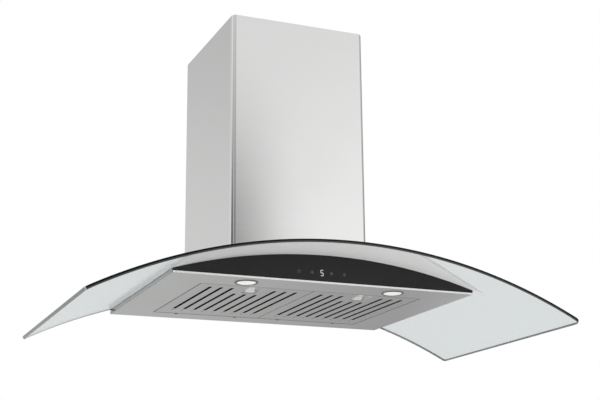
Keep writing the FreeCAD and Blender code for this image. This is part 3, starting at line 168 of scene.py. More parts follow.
def blendColour(tree, source, first, second):
    mix = tree.nodes.new("ShaderNodeMix")
    mix.data_type = "RGBA"
    mix.inputs["A"].default_value = (*first, 1)
    mix.inputs["B"].default_value = (*second, 1)
    tree.links.new(source, mix.inputs["Factor"])
    return mix.outputs["Result"]


def addBump(tree, shader, source, strength, distance):
    bump = tree.nodes.new("ShaderNodeBump")
    bump.inputs["Strength"].default_value = strength
    bump.inputs["Distance"].default_value = distance
    tree.links.new(source, bump.inputs["Height"])
    tree.links.new(bump.outputs["Normal"], shader.inputs["Normal"])


def calc(tree, operation, first, second=None):
    node = tree.nodes.new("ShaderNodeMath")
    node.operation = operation
    for index, value in enumerate((first, second)):
        if value is None:
            continue
        if isinstance(value, (int, float)):
            node.inputs[index].default_value = value
        else:
            tree.links.new(value, node.inputs[index])
    return node.outputs[0]


# stainless sheet with fine lines along the direction that stretch keeps long
def brushedSteel(name, stretch, tint, roughness=0.3, contrast=0.02):
    finish, tree, shader = newFinish(name, Metallic=1.0)
    lines = grainNoise(tree, stretch, detail=6.0, roughness=0.7)
    cloud = grainNoise(tree, (5, 5, 5), detail=2.0)
    darker = tuple(value * (1 - contrast) for value in tint)
    lighter = tuple(min(1.0, value * (1 + contrast)) for value in tint)
    colour = blendColour(tree, toRange(tree, lines, 0, 1), darker, lighter)
    tree.links.new(colour, shader.inputs["Base Color"])
    rough = calc(tree, "ADD", toRange(tree, lines, roughness - 0.03, roughness + 0.03),
                 toRange(tree, cloud, -0.02, 0.02))
    tree.links.new(rough, shader.inputs["Roughness"])
    addBump(tree, shader, lines, 0.02, 0.00004)
    return finish, tree, shader, colour


def placeAxis(tree, axis):  # one Object coordinate, in metres
    place = tree.nodes.new("ShaderNodeTexCoord")
    split = tree.nodes.new("ShaderNodeSeparateXYZ")
    tree.links.new(place.outputs["Object"], split.inputs["Vector"])
    return split.outputs[axis]


# a linked colour, with another colour where the mask is 1
def paintWhere(tree, mask, before, colour):
    mix = tree.nodes.new("ShaderNodeMix")
    mix.data_type = "RGBA"
    tree.links.new(mask, mix.inputs["Factor"])
    tree.links.new(before, mix.inputs["A"])
    mix.inputs["B"].default_value = (*colour, 1)
    return mix.outputs["Result"]


# the lower cover: a painted reflection of the dark end of the studio darkens its bends, most of all
# low down, and a painted highlight makes each side a little brighter beside the bend
def coverSteel(name, tint, sizes):
    finish, tree, shader, colour = brushedSteel(name, (5, 5, 900), tint, 0.12)
    across = calc(tree, "ABSOLUTE", placeAxis(tree, "X"))
    along = placeAxis(tree, "Y")
    # painted highlight: the side faces are painted brighter ahead of the side line
    side = calc(tree, "MULTIPLY", calc(tree, "GREATER_THAN", across, sizes["sideFace"]),
                toRange(tree, along, 1, 0, sizes["sideLineFront"], sizes["sideLineRear"]))
    colour = paintWhere(tree, side, colour, sizes["sideHighlightColour"])
    # painted reflection: the bends are painted darker, most of all low down
    bendReflection = calc(tree, "MULTIPLY", toRange(tree, across, 0, 1, sizes["bendInner"], sizes["bendOuter"]),
                calc(tree, "LESS_THAN", along, sizes["bendRear"]))
    shade = toRange(tree, placeAxis(tree, "Z"), sizes["bendReflectionLow"], sizes["bendReflectionHigh"],
                    sizes["lowHeight"], sizes["highHeight"])
    darker = tree.nodes.new("ShaderNodeMix")
    darker.data_type = "RGBA"
    darker.blend_type = "MULTIPLY"
    tree.links.new(bendReflection, darker.inputs["Factor"])
    tree.links.new(colour, darker.inputs["A"])
    tree.links.new(shade, darker.inputs["B"])
    tree.links.new(darker.outputs["Result"], shader.inputs["Base Color"])
    return finish


# the pan: its side walls are painted darker than the underside as painted shade, and its front hem is
# painted bright and non-metallic as a painted highlight
def panSteel(name, tint, sizes):
    finish, tree, shader, colour = brushedSteel(name, (4, 500, 500), tint, 0.3)
    wallShade = calc(tree, "GREATER_THAN", calc(tree, "ABSOLUTE", placeAxis(tree, "X")), sizes["wallFace"])
    hemHighlight = calc(tree, "LESS_THAN", placeAxis(tree, "Y"), sizes["hemFace"])
    # painted shade on the side walls, painted highlight on the front hem
    colour = paintWhere(tree, wallShade, colour, sizes["wallShadeColour"])
    colour = paintWhere(tree, hemHighlight, colour, sizes["hemHighlightColour"])
    tree.links.new(colour, shader.inputs["Base Color"])
    tree.links.new(calc(tree, "SUBTRACT", 1.0, hemHighlight), shader.inputs["Metallic"])
    return finish


zinc = {"tint": (0.6, 0.62, 0.63), "crystals": 140, "darkShare": 0.8, "smooth": 0.32, "rough": 0.5}


def zincSheet(name, sizes):  # galvanised sheet: crystals of slightly different grey
    finish, tree, shader = newFinish(name, Metallic=1.0)
    place = tree.nodes.new("ShaderNodeTexCoord")
    cells = tree.nodes.new("ShaderNodeTexVoronoi")
    cells.inputs["Scale"].default_value = sizes["crystals"]
    tree.links.new(place.outputs["Object"], cells.inputs["Vector"])
    single = tree.nodes.new("ShaderNodeSeparateColor")
    tree.links.new(cells.outputs["Color"], single.inputs["Color"])
    crystal = single.outputs["Red"]
    darker = tuple(value * sizes["darkShare"] for value in sizes["tint"])
    tree.links.new(blendColour(tree, crystal, darker, sizes["tint"]), shader.inputs["Base Color"])
    rough = toRange(tree, crystal, sizes["smooth"], sizes["rough"], 0, 1)
    tree.links.new(rough, shader.inputs["Roughness"])
    addBump(tree, shader, grainNoise(tree, (400, 400, 400)), 0.05, 0.0002)
    return finish


# a moulded, cast or painted surface with a fine even grain
def grainedFinish(name, dark, light, roughness, scale, bump=0.1, metallic=0.0, **values):
    finish, tree, shader = newFinish(name, Metallic=metallic, **values)
    grain = grainNoise(tree, (scale, scale, scale))
    colour = blendColour(tree, toRange(tree, grain, 0, 1), dark, light)
    tree.links.new(colour, shader.inputs["Base Color"])
    rough = toRange(tree, grain, roughness - 0.05, roughness + 0.05)
    tree.links.new(rough, shader.inputs["Roughness"])
    addBump(tree, shader, grain, bump, 0.0002)
    return finish


# the front edge of the glass: painted shade makes it black near its upper face; grey-green near its lower
# one
def frontEdgeShade(name, sizes):
    finish, tree, shader = newFinish(name, Roughness=0.15, **{"Specular IOR Level": 0.15})
    across = placeAxis(tree, "X")
    up = calc(tree, "SUBTRACT", placeAxis(tree, "Z"), sizes["apexHeight"] - sizes["archRadius"])
    squares = calc(tree, "ADD", calc(tree, "MULTIPLY", across, across), calc(tree, "MULTIPLY", up, up))
    depth = calc(tree, "SUBTRACT", calc(tree, "SQRT", squares), sizes["archRadius"])
    low = sizes["thickness"] * sizes["edgeLow"]
    high = sizes["thickness"] * sizes["edgeHigh"]
    share = toRange(tree, depth, 0, 1, low, high)
    colour = blendColour(tree, share, sizes["edgeGreen"], sizes["edgeShadeBlack"])
    tree.links.new(colour, shader.inputs["Base Color"])
    return finish


canopy = {
    "width": 0.900, "depth": 0.499, "rear": -0.001, "thickness": 0.006,
    "archRadius": 0.975, "apexHeight": 0.050 - hangHeight,
    "frontCorner": 0.012, "rearCorner": 0.006, "cornerSegments": 14,
    "notchWidth": 0.206, "notchFront": -0.225, "notchCorner": 0.008,
    "strips": 96, "arris": 0.0007, "smallSegments": 6,
    "edgeLow": 0.32, "edgeHigh": 0.52,
    "edgeGreen": (0.07, 0.078, 0.074), "edgeShadeBlack": (0.003, 0.006, 0.005),
    "boltAcross": 0.118, "boltRows": (-0.253, -0.040), "boltRadius": 0.0041,
}
cover = {
    "tint": (0.850, 0.850, 0.845),
    "sideFace": 0.1345, "sideLineFront": -0.272, "sideLineRear": -0.264,
    "sideHighlightColour": (1.0, 1.0, 0.995),
    "bendInner": 0.1272, "bendOuter": 0.1292, "bendRear": -0.2754,
    "lowHeight": -0.13, "highHeight": 0.36, "bendReflectionLow": 0.38, "bendReflectionHigh": 0.8,
}
pan = {
    "wallFace": 0.2822, "hemFace": -0.4073,
    "wallShadeColour": (0.42, 0.42, 0.42), "hemHighlightColour": (0.96, 0.96, 0.955),
}

steelTint = (0.89, 0.89, 0.885)
finishes = {
    "steelWalls": brushedSteel("steelWalls", (5, 5, 900), steelTint, 0.17)[0],
    "steelCover": coverSteel("steelCover", cover["tint"], cover),
    "steelUnder": panSteel("steelUnder", (0.645, 0.645, 0.64), pan),
    "steelFilter": brushedSteel("steelFilter", (4, 500, 500), (0.6, 0.6, 0.595), 0.32)[0],
    # the baffles are painted near black, as painted shade inside the filter slots
    "steelBaffleShade": grainedFinish("steelBaffleShade", (0.05, 0.05, 0.05), (0.08, 0.08, 0.08),
                                 0.6, 300, 0.05, 0.5),
    "zincSheet": zincSheet("zincSheet", zinc),
    "blackGlass": grainedFinish("blackGlass", (0.033, 0.033, 0.033), (0.035, 0.035, 0.035),
                                0.12, 30, 0.0,
                                **{"Specular IOR Level": 0.04}),
    "softRubber": grainedFinish("softRubber", (0.015, 0.015, 0.016), (0.025, 0.025, 0.026),
                                0.75, 900, 0.2),
    "foamTape": grainedFinish("foamTape", (0.02, 0.02, 0.02), (0.04, 0.04, 0.04), 0.9, 1500, 0.4),
    "boardGreen": grainedFinish("boardGreen", (0.01, 0.09, 0.04), (0.02, 0.16, 0.07),
                                0.35, 260, 0.1),
    "blackPlastic": grainedFinish("blackPlastic", (0.02, 0.02, 0.022), (0.035, 0.035, 0.037),
                                  0.5, 1200, 0.25),
    "screwZinc": grainedFinish("screwZinc", (0.5, 0.5, 0.48), (0.65, 0.65, 0.63),
                               0.3, 900, 0.1, 1.0),
    "shaftSteel": grainedFinish("shaftSteel", (0.45, 0.45, 0.46), (0.58, 0.58, 0.6),
                                0.22, 700, 0.05, 1.0),
    "wheelAluminium": grainedFinish("wheelAluminium", (0.6, 0.61, 0.62), (0.75, 0.76, 0.77),
                                    0.35, 300, 0.1, 1.0),
    "motorEnamel": grainedFinish("motorEnamel", (0.02, 0.021, 0.024), (0.04, 0.042, 0.047),
                                 0.4, 500, 0.2),
    "whitePlastic": grainedFinish("whitePlastic", (0.7, 0.7, 0.67), (0.8, 0.8, 0.78),
                                  0.35, 600, 0.05),
    # the bezels are painted dark, as painted shade of a gap around the lamp lenses
    "bezelSteelShade": grainedFinish("bezelSteelShade", (0.2, 0.2, 0.2), (0.23, 0.23, 0.23),
                                0.22, 500, 0.03, 1.0),
    "castAluminium": grainedFinish("castAluminium", (0.45, 0.46, 0.47), (0.58, 0.59, 0.6),
                                   0.5, 900, 0.4, 1.0),
    "cupSteel": grainedFinish("cupSteel", (0.66, 0.66, 0.655), (0.7, 0.7, 0.695),
                              0.45, 60, 0.0, 0.3),
    # the chrome latch slides are painted near white and non-metallic, as a painted highlight
    "latchChromeHighlight": grainedFinish("latchChromeHighlight", (0.96, 0.96, 0.96), (0.98, 0.98, 0.98),
                                 0.3, 60, 0.0, 0.1),
    "frostedLens": grainedFinish("frostedLens", (0.8, 0.8, 0.79), (0.86, 0.86, 0.85),
                                 0.4, 1500, 0.1,
                                 **{"Emission Color": (1, 0.99, 0.97, 1), "Emission Strength": 0.3}),
    "iconPrint": grainedFinish("iconPrint", (0.14, 0.14, 0.14), (0.18, 0.18, 0.18), 0.5, 900, 0.0),
    "digitPrint": grainedFinish("digitPrint", (0.4, 0.4, 0.4), (0.5, 0.5, 0.5), 0.5, 900, 0.0,
                                **{"Emission Color": (1, 1, 1, 1), "Emission Strength": 0.3}),
    # the glass edges: opaque finishes painted with shade, darkest at the front edge and lightest at the
    # front corners
    "glassEdgeFrontShade": frontEdgeShade("glassEdgeFrontShade", canopy),
    "glassEdgeSideShade": grainedFinish("glassEdgeSideShade", (0.2, 0.21, 0.205), (0.25, 0.26, 0.255),
                                   0.25, 60, 0.0),
    "glassEdgeCornerLight": grainedFinish("glassEdgeCornerLight", (0.4, 0.41, 0.405), (0.5, 0.51, 0.505),
                                     0.2, 60, 0.0),
}


# clear glass; ahead of the panel, up to a curved line on the right, a pale painted sheen with a painted
# glow stands in for light on it, and the curved line is painted darker
def clearGlass(name, sizes):
    finish, tree, shader = newFinish(name, Roughness=0.0, IOR=sizes["bending"])
    tone = grainNoise(tree, (2, 2, 2), detail=1.0)
    colour = blendColour(tree, tone, sizes["darkTone"], sizes["lightTone"])
    across = placeAxis(tree, "X")
    along = placeAxis(tree, "Y")
    inward = calc(tree, "SUBTRACT", sizes["sheenRight"], across)
    slope = calc(tree, "ADD", calc(tree, "MULTIPLY", inward, sizes["sheenBow"]), sizes["sheenSlope"])
    bow = calc(tree, "MULTIPLY", inward, slope)
    depth = calc(tree, "ADD", calc(tree, "SUBTRACT", along, sizes["sheenCorner"]), bow)
    ahead = calc(tree, "MULTIPLY", calc(tree, "LESS_THAN", along, sizes["sheenRear"]),
                 calc(tree, "GREATER_THAN", across, sizes["sheenLeft"]))
    sheenMask = calc(tree, "MULTIPLY", ahead, toRange(tree, depth, 0, 1, -sizes["sheenBlur"], sizes["sheenBlur"]))
    line = toRange(tree, depth, 1, 0, sizes["lineStart"], sizes["lineEnd"])
    line = calc(tree, "MULTIPLY", sheenMask, line)
    # painted sheen ahead of the panel, with a darker painted edge along its curved line
    colour = paintWhere(tree, sheenMask, colour, sizes["sheenColour"])
    colour = paintWhere(tree, line, colour, sizes["sheenEdgeColour"])
    tree.links.new(colour, shader.inputs["Base Color"])
    clear = toRange(tree, sheenMask, sizes["clear"], sizes["clearAhead"], 0, 1)
    tree.links.new(clear, shader.inputs["Transmission Weight"])
    # painted glow: the glass ahead of the panel emits light though it is no lamp
    shader.inputs["Emission Color"].default_value = sizes["paintedGlowColour"]
    tree.links.new(calc(tree, "MULTIPLY", sheenMask, sizes["paintedGlowAhead"]), shader.inputs["Emission Strength"])
    return finish


glassTone = {
    "sheenRight": 0.2812, "sheenCorner": -0.4165, "sheenSlope": 0.4016, "sheenBow": 0.926,
    "clear": 0.93, "clearAhead": 0.25, "paintedGlowAhead": 0.09, "paintedGlowColour": (1, 1, 0.995, 1),
    "sheenRear": -0.405, "sheenLeft": -0.285, "sheenBlur": 0.0005,
    "lineStart": 0.0015, "lineEnd": 0.003,
    "sheenColour": (0.8, 0.8, 0.797), "sheenEdgeColour": (0.72, 0.72, 0.717),
    "bending": 1.06, "darkTone": (0.735, 0.765, 0.772), "lightTone": (0.745, 0.775, 0.782),
}
finishes["clearGlass"] = clearGlass("clearGlass", glassTone)

finishOfSlot = {
    "brushed_steel": "steelWalls", "zinc_sheet": "zincSheet", "clear_glass": "clearGlass",
    "black_glass": "blackGlass", "rubber": "softRubber", "foam_tape": "foamTape",
    "circuit_board": "boardGreen", "black_plastic": "blackPlastic", "zinc_screws": "screwZinc",
    "shaft_steel": "shaftSteel", "wheel_aluminium": "wheelAluminium", "motor_paint": "motorEnamel",
    "capacitor_plastic": "whitePlastic", "bezel_steel": "bezelSteelShade", "frosted_lens": "frostedLens",
    "lamp_aluminium": "castAluminium", "latch_cup_steel": "cupSteel", "latch_chrome": "latchChromeHighlight",
}
finishOfNode = {
    "chimney_lower": "steelCover",
    "underside_pan": "steelUnder", "body_top": "steelUnder",
    "filter_face_left": "steelFilter", "filter_face_right": "steelFilter",
    "filter_baffles_left": "steelBaffleShade", "filter_baffles_right": "steelBaffleShade",
}

for part in frame["record"]["subparts"]:
    nodeName = part["node"]
    node = frame["nodes"][nodeName]
    finish = finishes[finishOfNode.get(nodeName, finishOfSlot[part["material_slot"]])]
    if not node.material_slots:
        node.data.materials.append(finish)
    for holder in node.material_slots:
        holder.material = finish
print("CAD pieces finished:", len(frame["nodes"]))


def bisectAt(co, normal):
    bpy.ops.mesh.select_all(action="SELECT")
    bpy.ops.mesh.bisect(plane_co=co, plane_no=normal)


def makeCanopy(sizes):
    outer = sizes["archRadius"] + sizes["thickness"]
    halfAngle = math.asin(sizes["width"] / 2 / outer)
    length = 2 * sizes["archRadius"] * halfAngle
    front = sizes["rear"] - sizes["depth"]
    middle = (front + sizes["rear"]) / 2
    halfNotch = sizes["archRadius"] * math.asin(sizes["notchWidth"] / 2 / sizes["archRadius"])

    # the flat plan: x runs along the arc
    deselectAll()
    bpy.ops.mesh.primitive_plane_add(size=1, location=(0, middle, 0))
    piece = bpy.context.object
    piece.name = "glassCanopy"
    piece.scale = (length, sizes["depth"], 1)
    settle(piece)
    startEdit(piece)
    bisectAt((0, sizes["notchFront"], 0), (0, 1, 0))
    for side in (-1, 1):
        bisectAt((side * halfNotch, 0, 0), (1, 0, 0))
    selectFaces(piece, lambda face: face.calc_center_median().y > sizes["notchFront"]
                and abs(face.calc_center_median().x) < halfNotch)
    bpy.ops.mesh.delete(type="FACE")
    near = 1e-4
    for x, y, corner, segments in (
        (length / 2, front, "frontCorner", "cornerSegments"),
        (length / 2, sizes["rear"], "rearCorner", "smallSegments"),
        (halfNotch, sizes["notchFront"], "notchCorner", "smallSegments"),
    ):
        selectPoints(piece, lambda co: abs(co.y - y) < near and abs(abs(co.x) - x) < near)
        bpy.ops.mesh.bevel(affect="VERTICES", offset=sizes[corner], segments=sizes[segments])
    bpy.ops.mesh.select_all(action="SELECT")
    bpy.ops.mesh.dissolve_limited(angle_limit=0.001)
    for number in range(1, sizes["strips"]):
        bisectAt((length * (number / sizes["strips"] - 0.5), 0, 0), (1, 0, 0))

    # thickness, then the sheet is stood up for the bend and laid down again
    bpy.ops.mesh.select_all(action="SELECT")
    bpy.ops.mesh.extrude_region_move(TRANSFORM_OT_translate={"value": (0, 0, sizes["thickness"])})
    closeUp(piece)
    applyModifier(piece, "BEVEL", width=sizes["arris"], segments=2, limit_method="ANGLE",
                  angle_limit=math.radians(60))
    finishNames = ("clearGlass", "glassEdgeFrontShade", "glassEdgeSideShade", "glassEdgeCornerLight")
    # each edge face gets painted shade by the way it faces: darkest at the front, grey at the sides,
    # lightest at the front corners
    for face in piece.data.polygons:  # the dark front edge goes further round the right corner
        across, along, up = face.normal
        if abs(up) < 0.97:
            edge = "glassEdgeSideShade"
            if along < -0.6 or (along < -0.2 and across > 0):
                edge = "glassEdgeFrontShade"
            elif along < -0.35:
                edge = "glassEdgeCornerLight"
            face.material_index = finishNames.index(edge)
    piece.rotation_euler = (0, -math.pi / 2, 0)
    settle(piece)
    applyModifier(piece, "SIMPLE_DEFORM", deform_method="BEND", deform_axis="Y",
                  angle=length / sizes["archRadius"])
    piece.rotation_euler = (0, math.pi / 2, 0)
    settle(piece)
    piece.location = (0, 0, sizes["apexHeight"])
    settle(piece)

    # bolt holes, square to the curve
    for side in (-1, 1):
        for row in sizes["boltRows"]:
            deselectAll()
            tilt = math.asin(sizes["boltAcross"] / sizes["archRadius"]) * side
            height = sizes["apexHeight"] - sizes["archRadius"] * (1 - math.cos(tilt))
            bpy.ops.mesh.primitive_cylinder_add(vertices=32, radius=sizes["boltRadius"], depth=0.03,
                                                location=(side * sizes["boltAcross"], row, height),
                                                rotation=(0, tilt, 0))
            drill = bpy.context.object
            applyModifier(piece, "BOOLEAN", object=drill, operation="DIFFERENCE", solver="EXACT")
            bpy.data.objects.remove(drill)
    smoothShade(piece, 10)
    for key in finishNames:
        piece.data.materials.append(finishes[key])
    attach(piece, "root")
    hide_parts("glass_canopy")
    return piece


glassCanopy = makeCanopy(canopy)
print("glass canopy made, faces:", len(glassCanopy.data.polygons))


lamp = {
    "across": 0.140, "back": -0.369, "floor": -hangHeight,
    "lens": [(0.0164, 0.004), (0.0164, -0.0002), (0.0160, -0.0008), (0.0148, -0.0012),
             (0.0126, -0.0015), (0.0092, -0.0017), (0.0050, -0.0018), (0.0018, -0.0018)],
    "bezel": [(0.0168, 0.0060), (0.0168, 0.0006), (0.0171, -0.0004), (0.0178, -0.0010),
              (0.0186, -0.0008), (0.0194, -0.0008), (0.0200, -0.0012), (0.0206, -0.0010),
              (0.0210, -0.0004), (0.0210, 0.0000), (0.0198, 0.0000), (0.0198, 0.0080),
              (0.0185, 0.0080), (0.0185, 0.0060), (0.0168, 0.0060)],
}


def makeLamps(sizes):
    for sideName, side in (("Left", -1), ("Right", 1)):
        centre = (side * sizes["across"], sizes["back"], sizes["floor"])
        for kind, finish, slotName in (("lens", "frostedLens", "frosted_lens"),
                                       ("bezel", "bezelSteelShade", "bezel_steel")):
            piece = turnedPiece("lamp" + kind.title() + sideName, centre, sizes[kind])
            smoothShade(piece, 40)
            piece.data.materials.append(finishes[finish])
            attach(piece, "root")
            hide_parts(f"lamp_{kind}_{sideName.lower()}")


makeLamps(lamp)
print("lamps made")


marks = {
    "face": -0.408, "proud": 0.00008, "height": 0.0180 - hangHeight,
    "places": {"power": -0.0580, "minus": -0.0337, "digit": -0.0153, "plus": 0.0027, "light": 0.0273},
    "ringRadius": 0.0026, "line": 0.0006,
    "powerGap": 0.5, "stemPlace": 0.7, "stemLength": 1.1, "bulb": 0.62, "rayPlace": 1.1, "rays": 8,
    "digitWidth": 0.0058, "digitHeight": 0.0110, "digitLine": 0.0013,
}


def addBar(x, z, width, height, turn=0.0):  # a thin printed bar on the panel's face
    deselectAll()
    centre = (x, marks["face"] - marks["proud"] / 2, z)
    bpy.ops.mesh.primitive_cube_add(size=1, location=centre, rotation=(0, turn, 0))
    bar = bpy.context.object
    bar.scale = (width, marks["proud"], height)
    settle(bar)
    applyModifier(bar, "BEVEL", width=min(width, height) * 0.3, segments=2, limit_method="NONE",
                  affect="EDGES", use_clamp_overlap=True)
    return bar


# a thin printed ring; gap is half its opening at the top, as an angle
def addRing(x, z, radius, line, gap=0.0):
    deselectAll()
    centre = (x, marks["face"] - marks["proud"] / 2, z)
    bpy.ops.mesh.primitive_torus_add(major_segments=40, minor_segments=8, major_radius=radius - line / 2,
                                     minor_radius=line / 2, location=centre, rotation=(math.pi / 2, 0, 0))
    circle = bpy.context.object
    settle(circle)
    startEdit(circle)
    bpy.ops.mesh.select_all(action="SELECT")
    bpy.ops.transform.resize(value=(1, marks["proud"] / line, 1), center_override=centre)
    if gap:
        selectFaces(circle, lambda face: abs(math.atan2(face.calc_center_median().x - x,
                                                        face.calc_center_median().z - z)) < gap)
        bpy.ops.mesh.delete(type="FACE")
        bpy.ops.mesh.select_all(action="SELECT")
        bpy.ops.mesh.fill_holes(sides=0)
    closeUp(circle)
    return circle


def joinMark(name, pieces, finish):
    deselectAll()
    for piece in pieces:
        piece.select_set(True)
    bpy.context.view_layer.objects.active = pieces[0]
    bpy.ops.object.join()
    mark = pieces[0]
    mark.name = name
    mark.data.materials.clear()
    mark.data.materials.append(finishes[finish])
    settle(mark)
    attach(mark, "root")


def makeMarks(sizes):
    x = sizes["places"]
    z = sizes["height"]
    radius = sizes["ringRadius"]
    line = sizes["line"]
    stem = (z + radius * sizes["stemPlace"], line, radius * sizes["stemLength"])
    joinMark("markPower", [addRing(x["power"], z, radius, line, sizes["powerGap"]),
                           addBar(x["power"], *stem)], "iconPrint")
    joinMark("markMinus", [addRing(x["minus"], z, radius, line),
                           addBar(x["minus"], z, radius, line)], "iconPrint")
    joinMark("markPlus", [addRing(x["plus"], z, radius, line), addBar(x["plus"], z, radius, line),
                          addBar(x["plus"], z, line, radius)], "iconPrint")
    reach = radius * sizes["rayPlace"]
    turns = [2 * math.pi * number / sizes["rays"] for number in range(sizes["rays"])]
    rays = [addBar(x["light"] + reach * math.sin(turn), z + reach * math.cos(turn),
                   line, line * 1.5, turn)
            for turn in turns]
    joinMark("markLight", [addRing(x["light"], z, radius * sizes["bulb"], line), *rays], "iconPrint")
    width = sizes["digitWidth"]
    height = sizes["digitHeight"]
    stroke = sizes["digitLine"]
    centre = x["digit"]
    flat = [addBar(centre, z + step * (height - stroke) / 2, width - stroke, stroke)
            for step in (-1, 0, 1)]
    upright = [addBar(centre + side * (width - stroke) / 2, z + step * (height - stroke) / 4,
                      stroke, height / 2 - stroke)
               for side, step in ((-1, 1), (1, -1))]
    joinMark("markDigit", flat + upright, "digitPrint")


makeMarks(marks)
print("touch marks made")


studio = {
    "floorHeight": -2.4, "floorSize": 16.0, "floorColour": (0.86, 0.86, 0.855),
    "glossyFloor": 0.62, "ambient": 0.62,
    "darkLeft": (-70, -48), "darkRight": (18.8, 23), "darkTop": (12, 23), "darkness": 0.92,
    "curtainLeft": (45, 65), "curtainRight": (150, 165), "curtainTop": (30, 45),
    "curtainDarkness": 0.6,
    "zoneFoot": (-30, -12), "highStart": (13, 25), "highLevel": 0.8,
    "behindDepth": (0.3, 0.6), "behindFoot": (-2, 6), "behindDarkness": 0.33,
    "greyTop": (-3, 5), "greyFoot": (-60, -32),
    "keyPlace": (1.8, -2.6, 2.2), "keySize": 2.6, "keyPower": 55,
    "fillPlace": (-2.4, -2.4, -0.6), "fillSize": 2.6, "fillPower": 24,
}


def smoothStep(tree, source, start, end, low=0.0, high=1.0):
    step = tree.nodes.new("ShaderNodeMapRange")
    step.interpolation_type = "SMOOTHSTEP"
    step.inputs["From Min"].default_value = start
    step.inputs["From Max"].default_value = end
    step.inputs["To Min"].default_value = low
    step.inputs["To Max"].default_value = high
    tree.links.new(source, step.inputs["Value"])
    return step.outputs["Result"]


def makeWorld(sizes):
    world = bpy.data.worlds.new("studio")
    bpy.context.scene.world = world
    world.use_nodes = True
    tree = world.node_tree
    tree.nodes.clear()
    place = tree.nodes.new("ShaderNodeTexCoord")
    split = tree.nodes.new("ShaderNodeSeparateXYZ")
    tree.links.new(place.outputs["Generated"], split.inputs["Vector"])
    x, y, z = split.outputs
    degrees = 180 / math.pi
    front = calc(tree, "MULTIPLY", y, -1.0)
    azimuth = calc(tree, "MULTIPLY", calc(tree, "ARCTAN2", x, front), degrees)
    elevation = calc(tree, "MULTIPLY", calc(tree, "ARCSINE", z), degrees)

    def zone(rising, falling):
        return calc(tree, "MULTIPLY", rising, falling)

    def dimmed(mask, amount):
        return calc(tree, "SUBTRACT", 1.0, calc(tree, "MULTIPLY", mask, amount))

    # the dark end of the studio, in front on the left, and a dark curtain on the right
    across = zone(smoothStep(tree, azimuth, *sizes["darkLeft"]),
                  smoothStep(tree, azimuth, *sizes["darkRight"], 1, 0))
    curtain = zone(smoothStep(tree, azimuth, *sizes["curtainLeft"]),
                   smoothStep(tree, azimuth, *sizes["curtainRight"], 1, 0))
    upDown = zone(smoothStep(tree, elevation, *sizes["zoneFoot"]),
                  smoothStep(tree, elevation, *sizes["darkTop"], 1, 0))
    curtainUp = zone(smoothStep(tree, elevation, *sizes["zoneFoot"]),
                     smoothStep(tree, elevation, *sizes["curtainTop"], 1, 0))
    dark = dimmed(zone(across, upDown), sizes["darkness"])
    right = dimmed(zone(curtain, curtainUp), sizes["curtainDarkness"])
    # a little darker higher up and behind
    high = smoothStep(tree, elevation, *sizes["highStart"], 1.0, sizes["highLevel"])
    behind = zone(smoothStep(tree, y, *sizes["behindDepth"]),
                  smoothStep(tree, elevation, *sizes["behindFoot"]))
    rear = dimmed(behind, sizes["behindDarkness"])
    # the grey zone near the horizon, under which the floor is pale again
    lower = zone(smoothStep(tree, elevation, *sizes["greyTop"], 1, 0),
                 smoothStep(tree, elevation, *sizes["greyFoot"]))
    grey = dimmed(lower, 1 - sizes["glossyFloor"])
    mirrored = calc(tree, "MULTIPLY", dark, grey)
    for share in (right, high, rear):
        mirrored = calc(tree, "MULTIPLY", mirrored, share)
    paths = tree.nodes.new("ShaderNodeLightPath")
    seen = calc(tree, "MAXIMUM", paths.outputs["Is Camera Ray"], paths.outputs["Is Transmission Ray"])
    gloss = tree.nodes.new("ShaderNodeMix")
    tree.links.new(paths.outputs["Is Glossy Ray"], gloss.inputs["Factor"])
    gloss.inputs["A"].default_value = sizes["ambient"]
    tree.links.new(mirrored, gloss.inputs["B"])
    level = tree.nodes.new("ShaderNodeMix")
    tree.links.new(seen, level.inputs["Factor"])
    tree.links.new(gloss.outputs["Result"], level.inputs["A"])
    level.inputs["B"].default_value = 1.0
    sky = tree.nodes.new("ShaderNodeBackground")
    tree.links.new(level.outputs["Result"], sky.inputs["Strength"])
    out = tree.nodes.new("ShaderNodeOutputWorld")
    tree.links.new(sky.outputs["Background"], out.inputs["Surface"])
    sky.inputs["Color"].default_value = (1, 1, 1, 1)


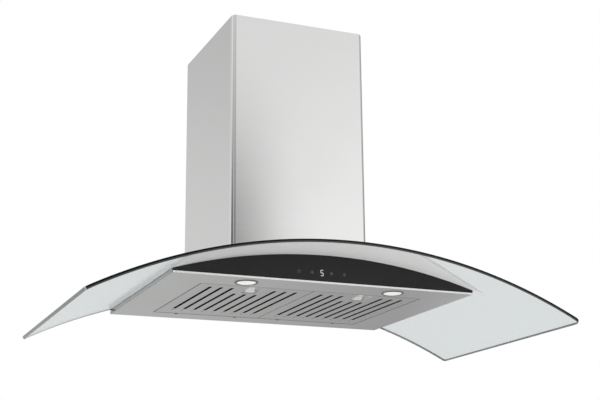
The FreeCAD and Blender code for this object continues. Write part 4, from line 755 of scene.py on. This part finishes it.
def makeFloor(sizes):
    deselectAll()
    bpy.ops.mesh.primitive_plane_add(size=sizes["floorSize"], location=(0, 0, sizes["floorHeight"]))
    floor = bpy.context.object
    floor.name = "studioFloor"
    settle(floor)
    finish, tree, shader = newFinish("paleFloor", Roughness=0.9)
    shader.inputs["Base Color"].default_value = (*sizes["floorColour"], 1)
    paths = tree.nodes.new("ShaderNodeLightPath")
    glow = tree.nodes.new("ShaderNodeEmission")
    glow.inputs["Strength"].default_value = sizes["glossyFloor"]
    mix = tree.nodes.new("ShaderNodeMixShader")
    tree.links.new(paths.outputs["Is Glossy Ray"], mix.inputs[0])
    tree.links.new(shader.outputs[0], mix.inputs[1])
    tree.links.new(glow.outputs[0], mix.inputs[2])
    tree.links.new(mix.outputs[0], tree.nodes["Material Output"].inputs["Surface"])
    floor.data.materials.append(finish)


def addSoftLight(name, place, size, power):
    deselectAll()
    bpy.ops.object.light_add(type="AREA", location=place)
    light = bpy.context.object
    light.name = name
    light.data.size = size
    light.data.energy = power
    light.rotation_euler = (-Vector(place)).to_track_quat("-Z", "Y").to_euler()
    light.visible_glossy = False


makeWorld(studio)
makeFloor(studio)
addSoftLight("keyLight", studio["keyPlace"], studio["keySize"], studio["keyPower"])
addSoftLight("fillLight", studio["fillPlace"], studio["fillSize"], studio["fillPower"])

view = {
    "place": (-0.87529, -2.35203, -0.61544), "yaw": 0.4070, "pitch": 0.2777, "roll": -0.0123,
    "lens": 75.347, "sensor": 36, "shiftX": -0.01555, "shiftY": -0.01495, "reach": 60,
}


def makeCamera(sizes):
    deselectAll()
    bpy.ops.object.camera_add(location=sizes["place"])
    camera = bpy.context.object
    yaw, pitch, roll = sizes["yaw"], sizes["pitch"], sizes["roll"]
    level = math.cos(pitch)
    forward = Vector((math.sin(yaw) * level, math.cos(yaw) * level, math.sin(pitch)))
    right = Vector((math.cos(yaw), -math.sin(yaw), 0))
    up = right.cross(forward)
    tiltedRight = right * math.cos(roll) + up * math.sin(roll)
    tiltedUp = -right * math.sin(roll) + up * math.cos(roll)
    turn = camera.matrix_world.to_3x3()
    for row in range(3):
        turn[row][0] = tiltedRight[row]
        turn[row][1] = tiltedUp[row]
        turn[row][2] = -forward[row]
    camera.rotation_euler = turn.to_euler()
    camera.data.sensor_width = sizes["sensor"]
    camera.data.lens = sizes["lens"]
    camera.data.shift_x = sizes["shiftX"]
    camera.data.shift_y = sizes["shiftY"]
    camera.data.clip_end = sizes["reach"]
    bpy.context.scene.camera = camera


makeCamera(view)
bpy.context.scene.view_settings.view_transform = "Standard"
print("studio ready")
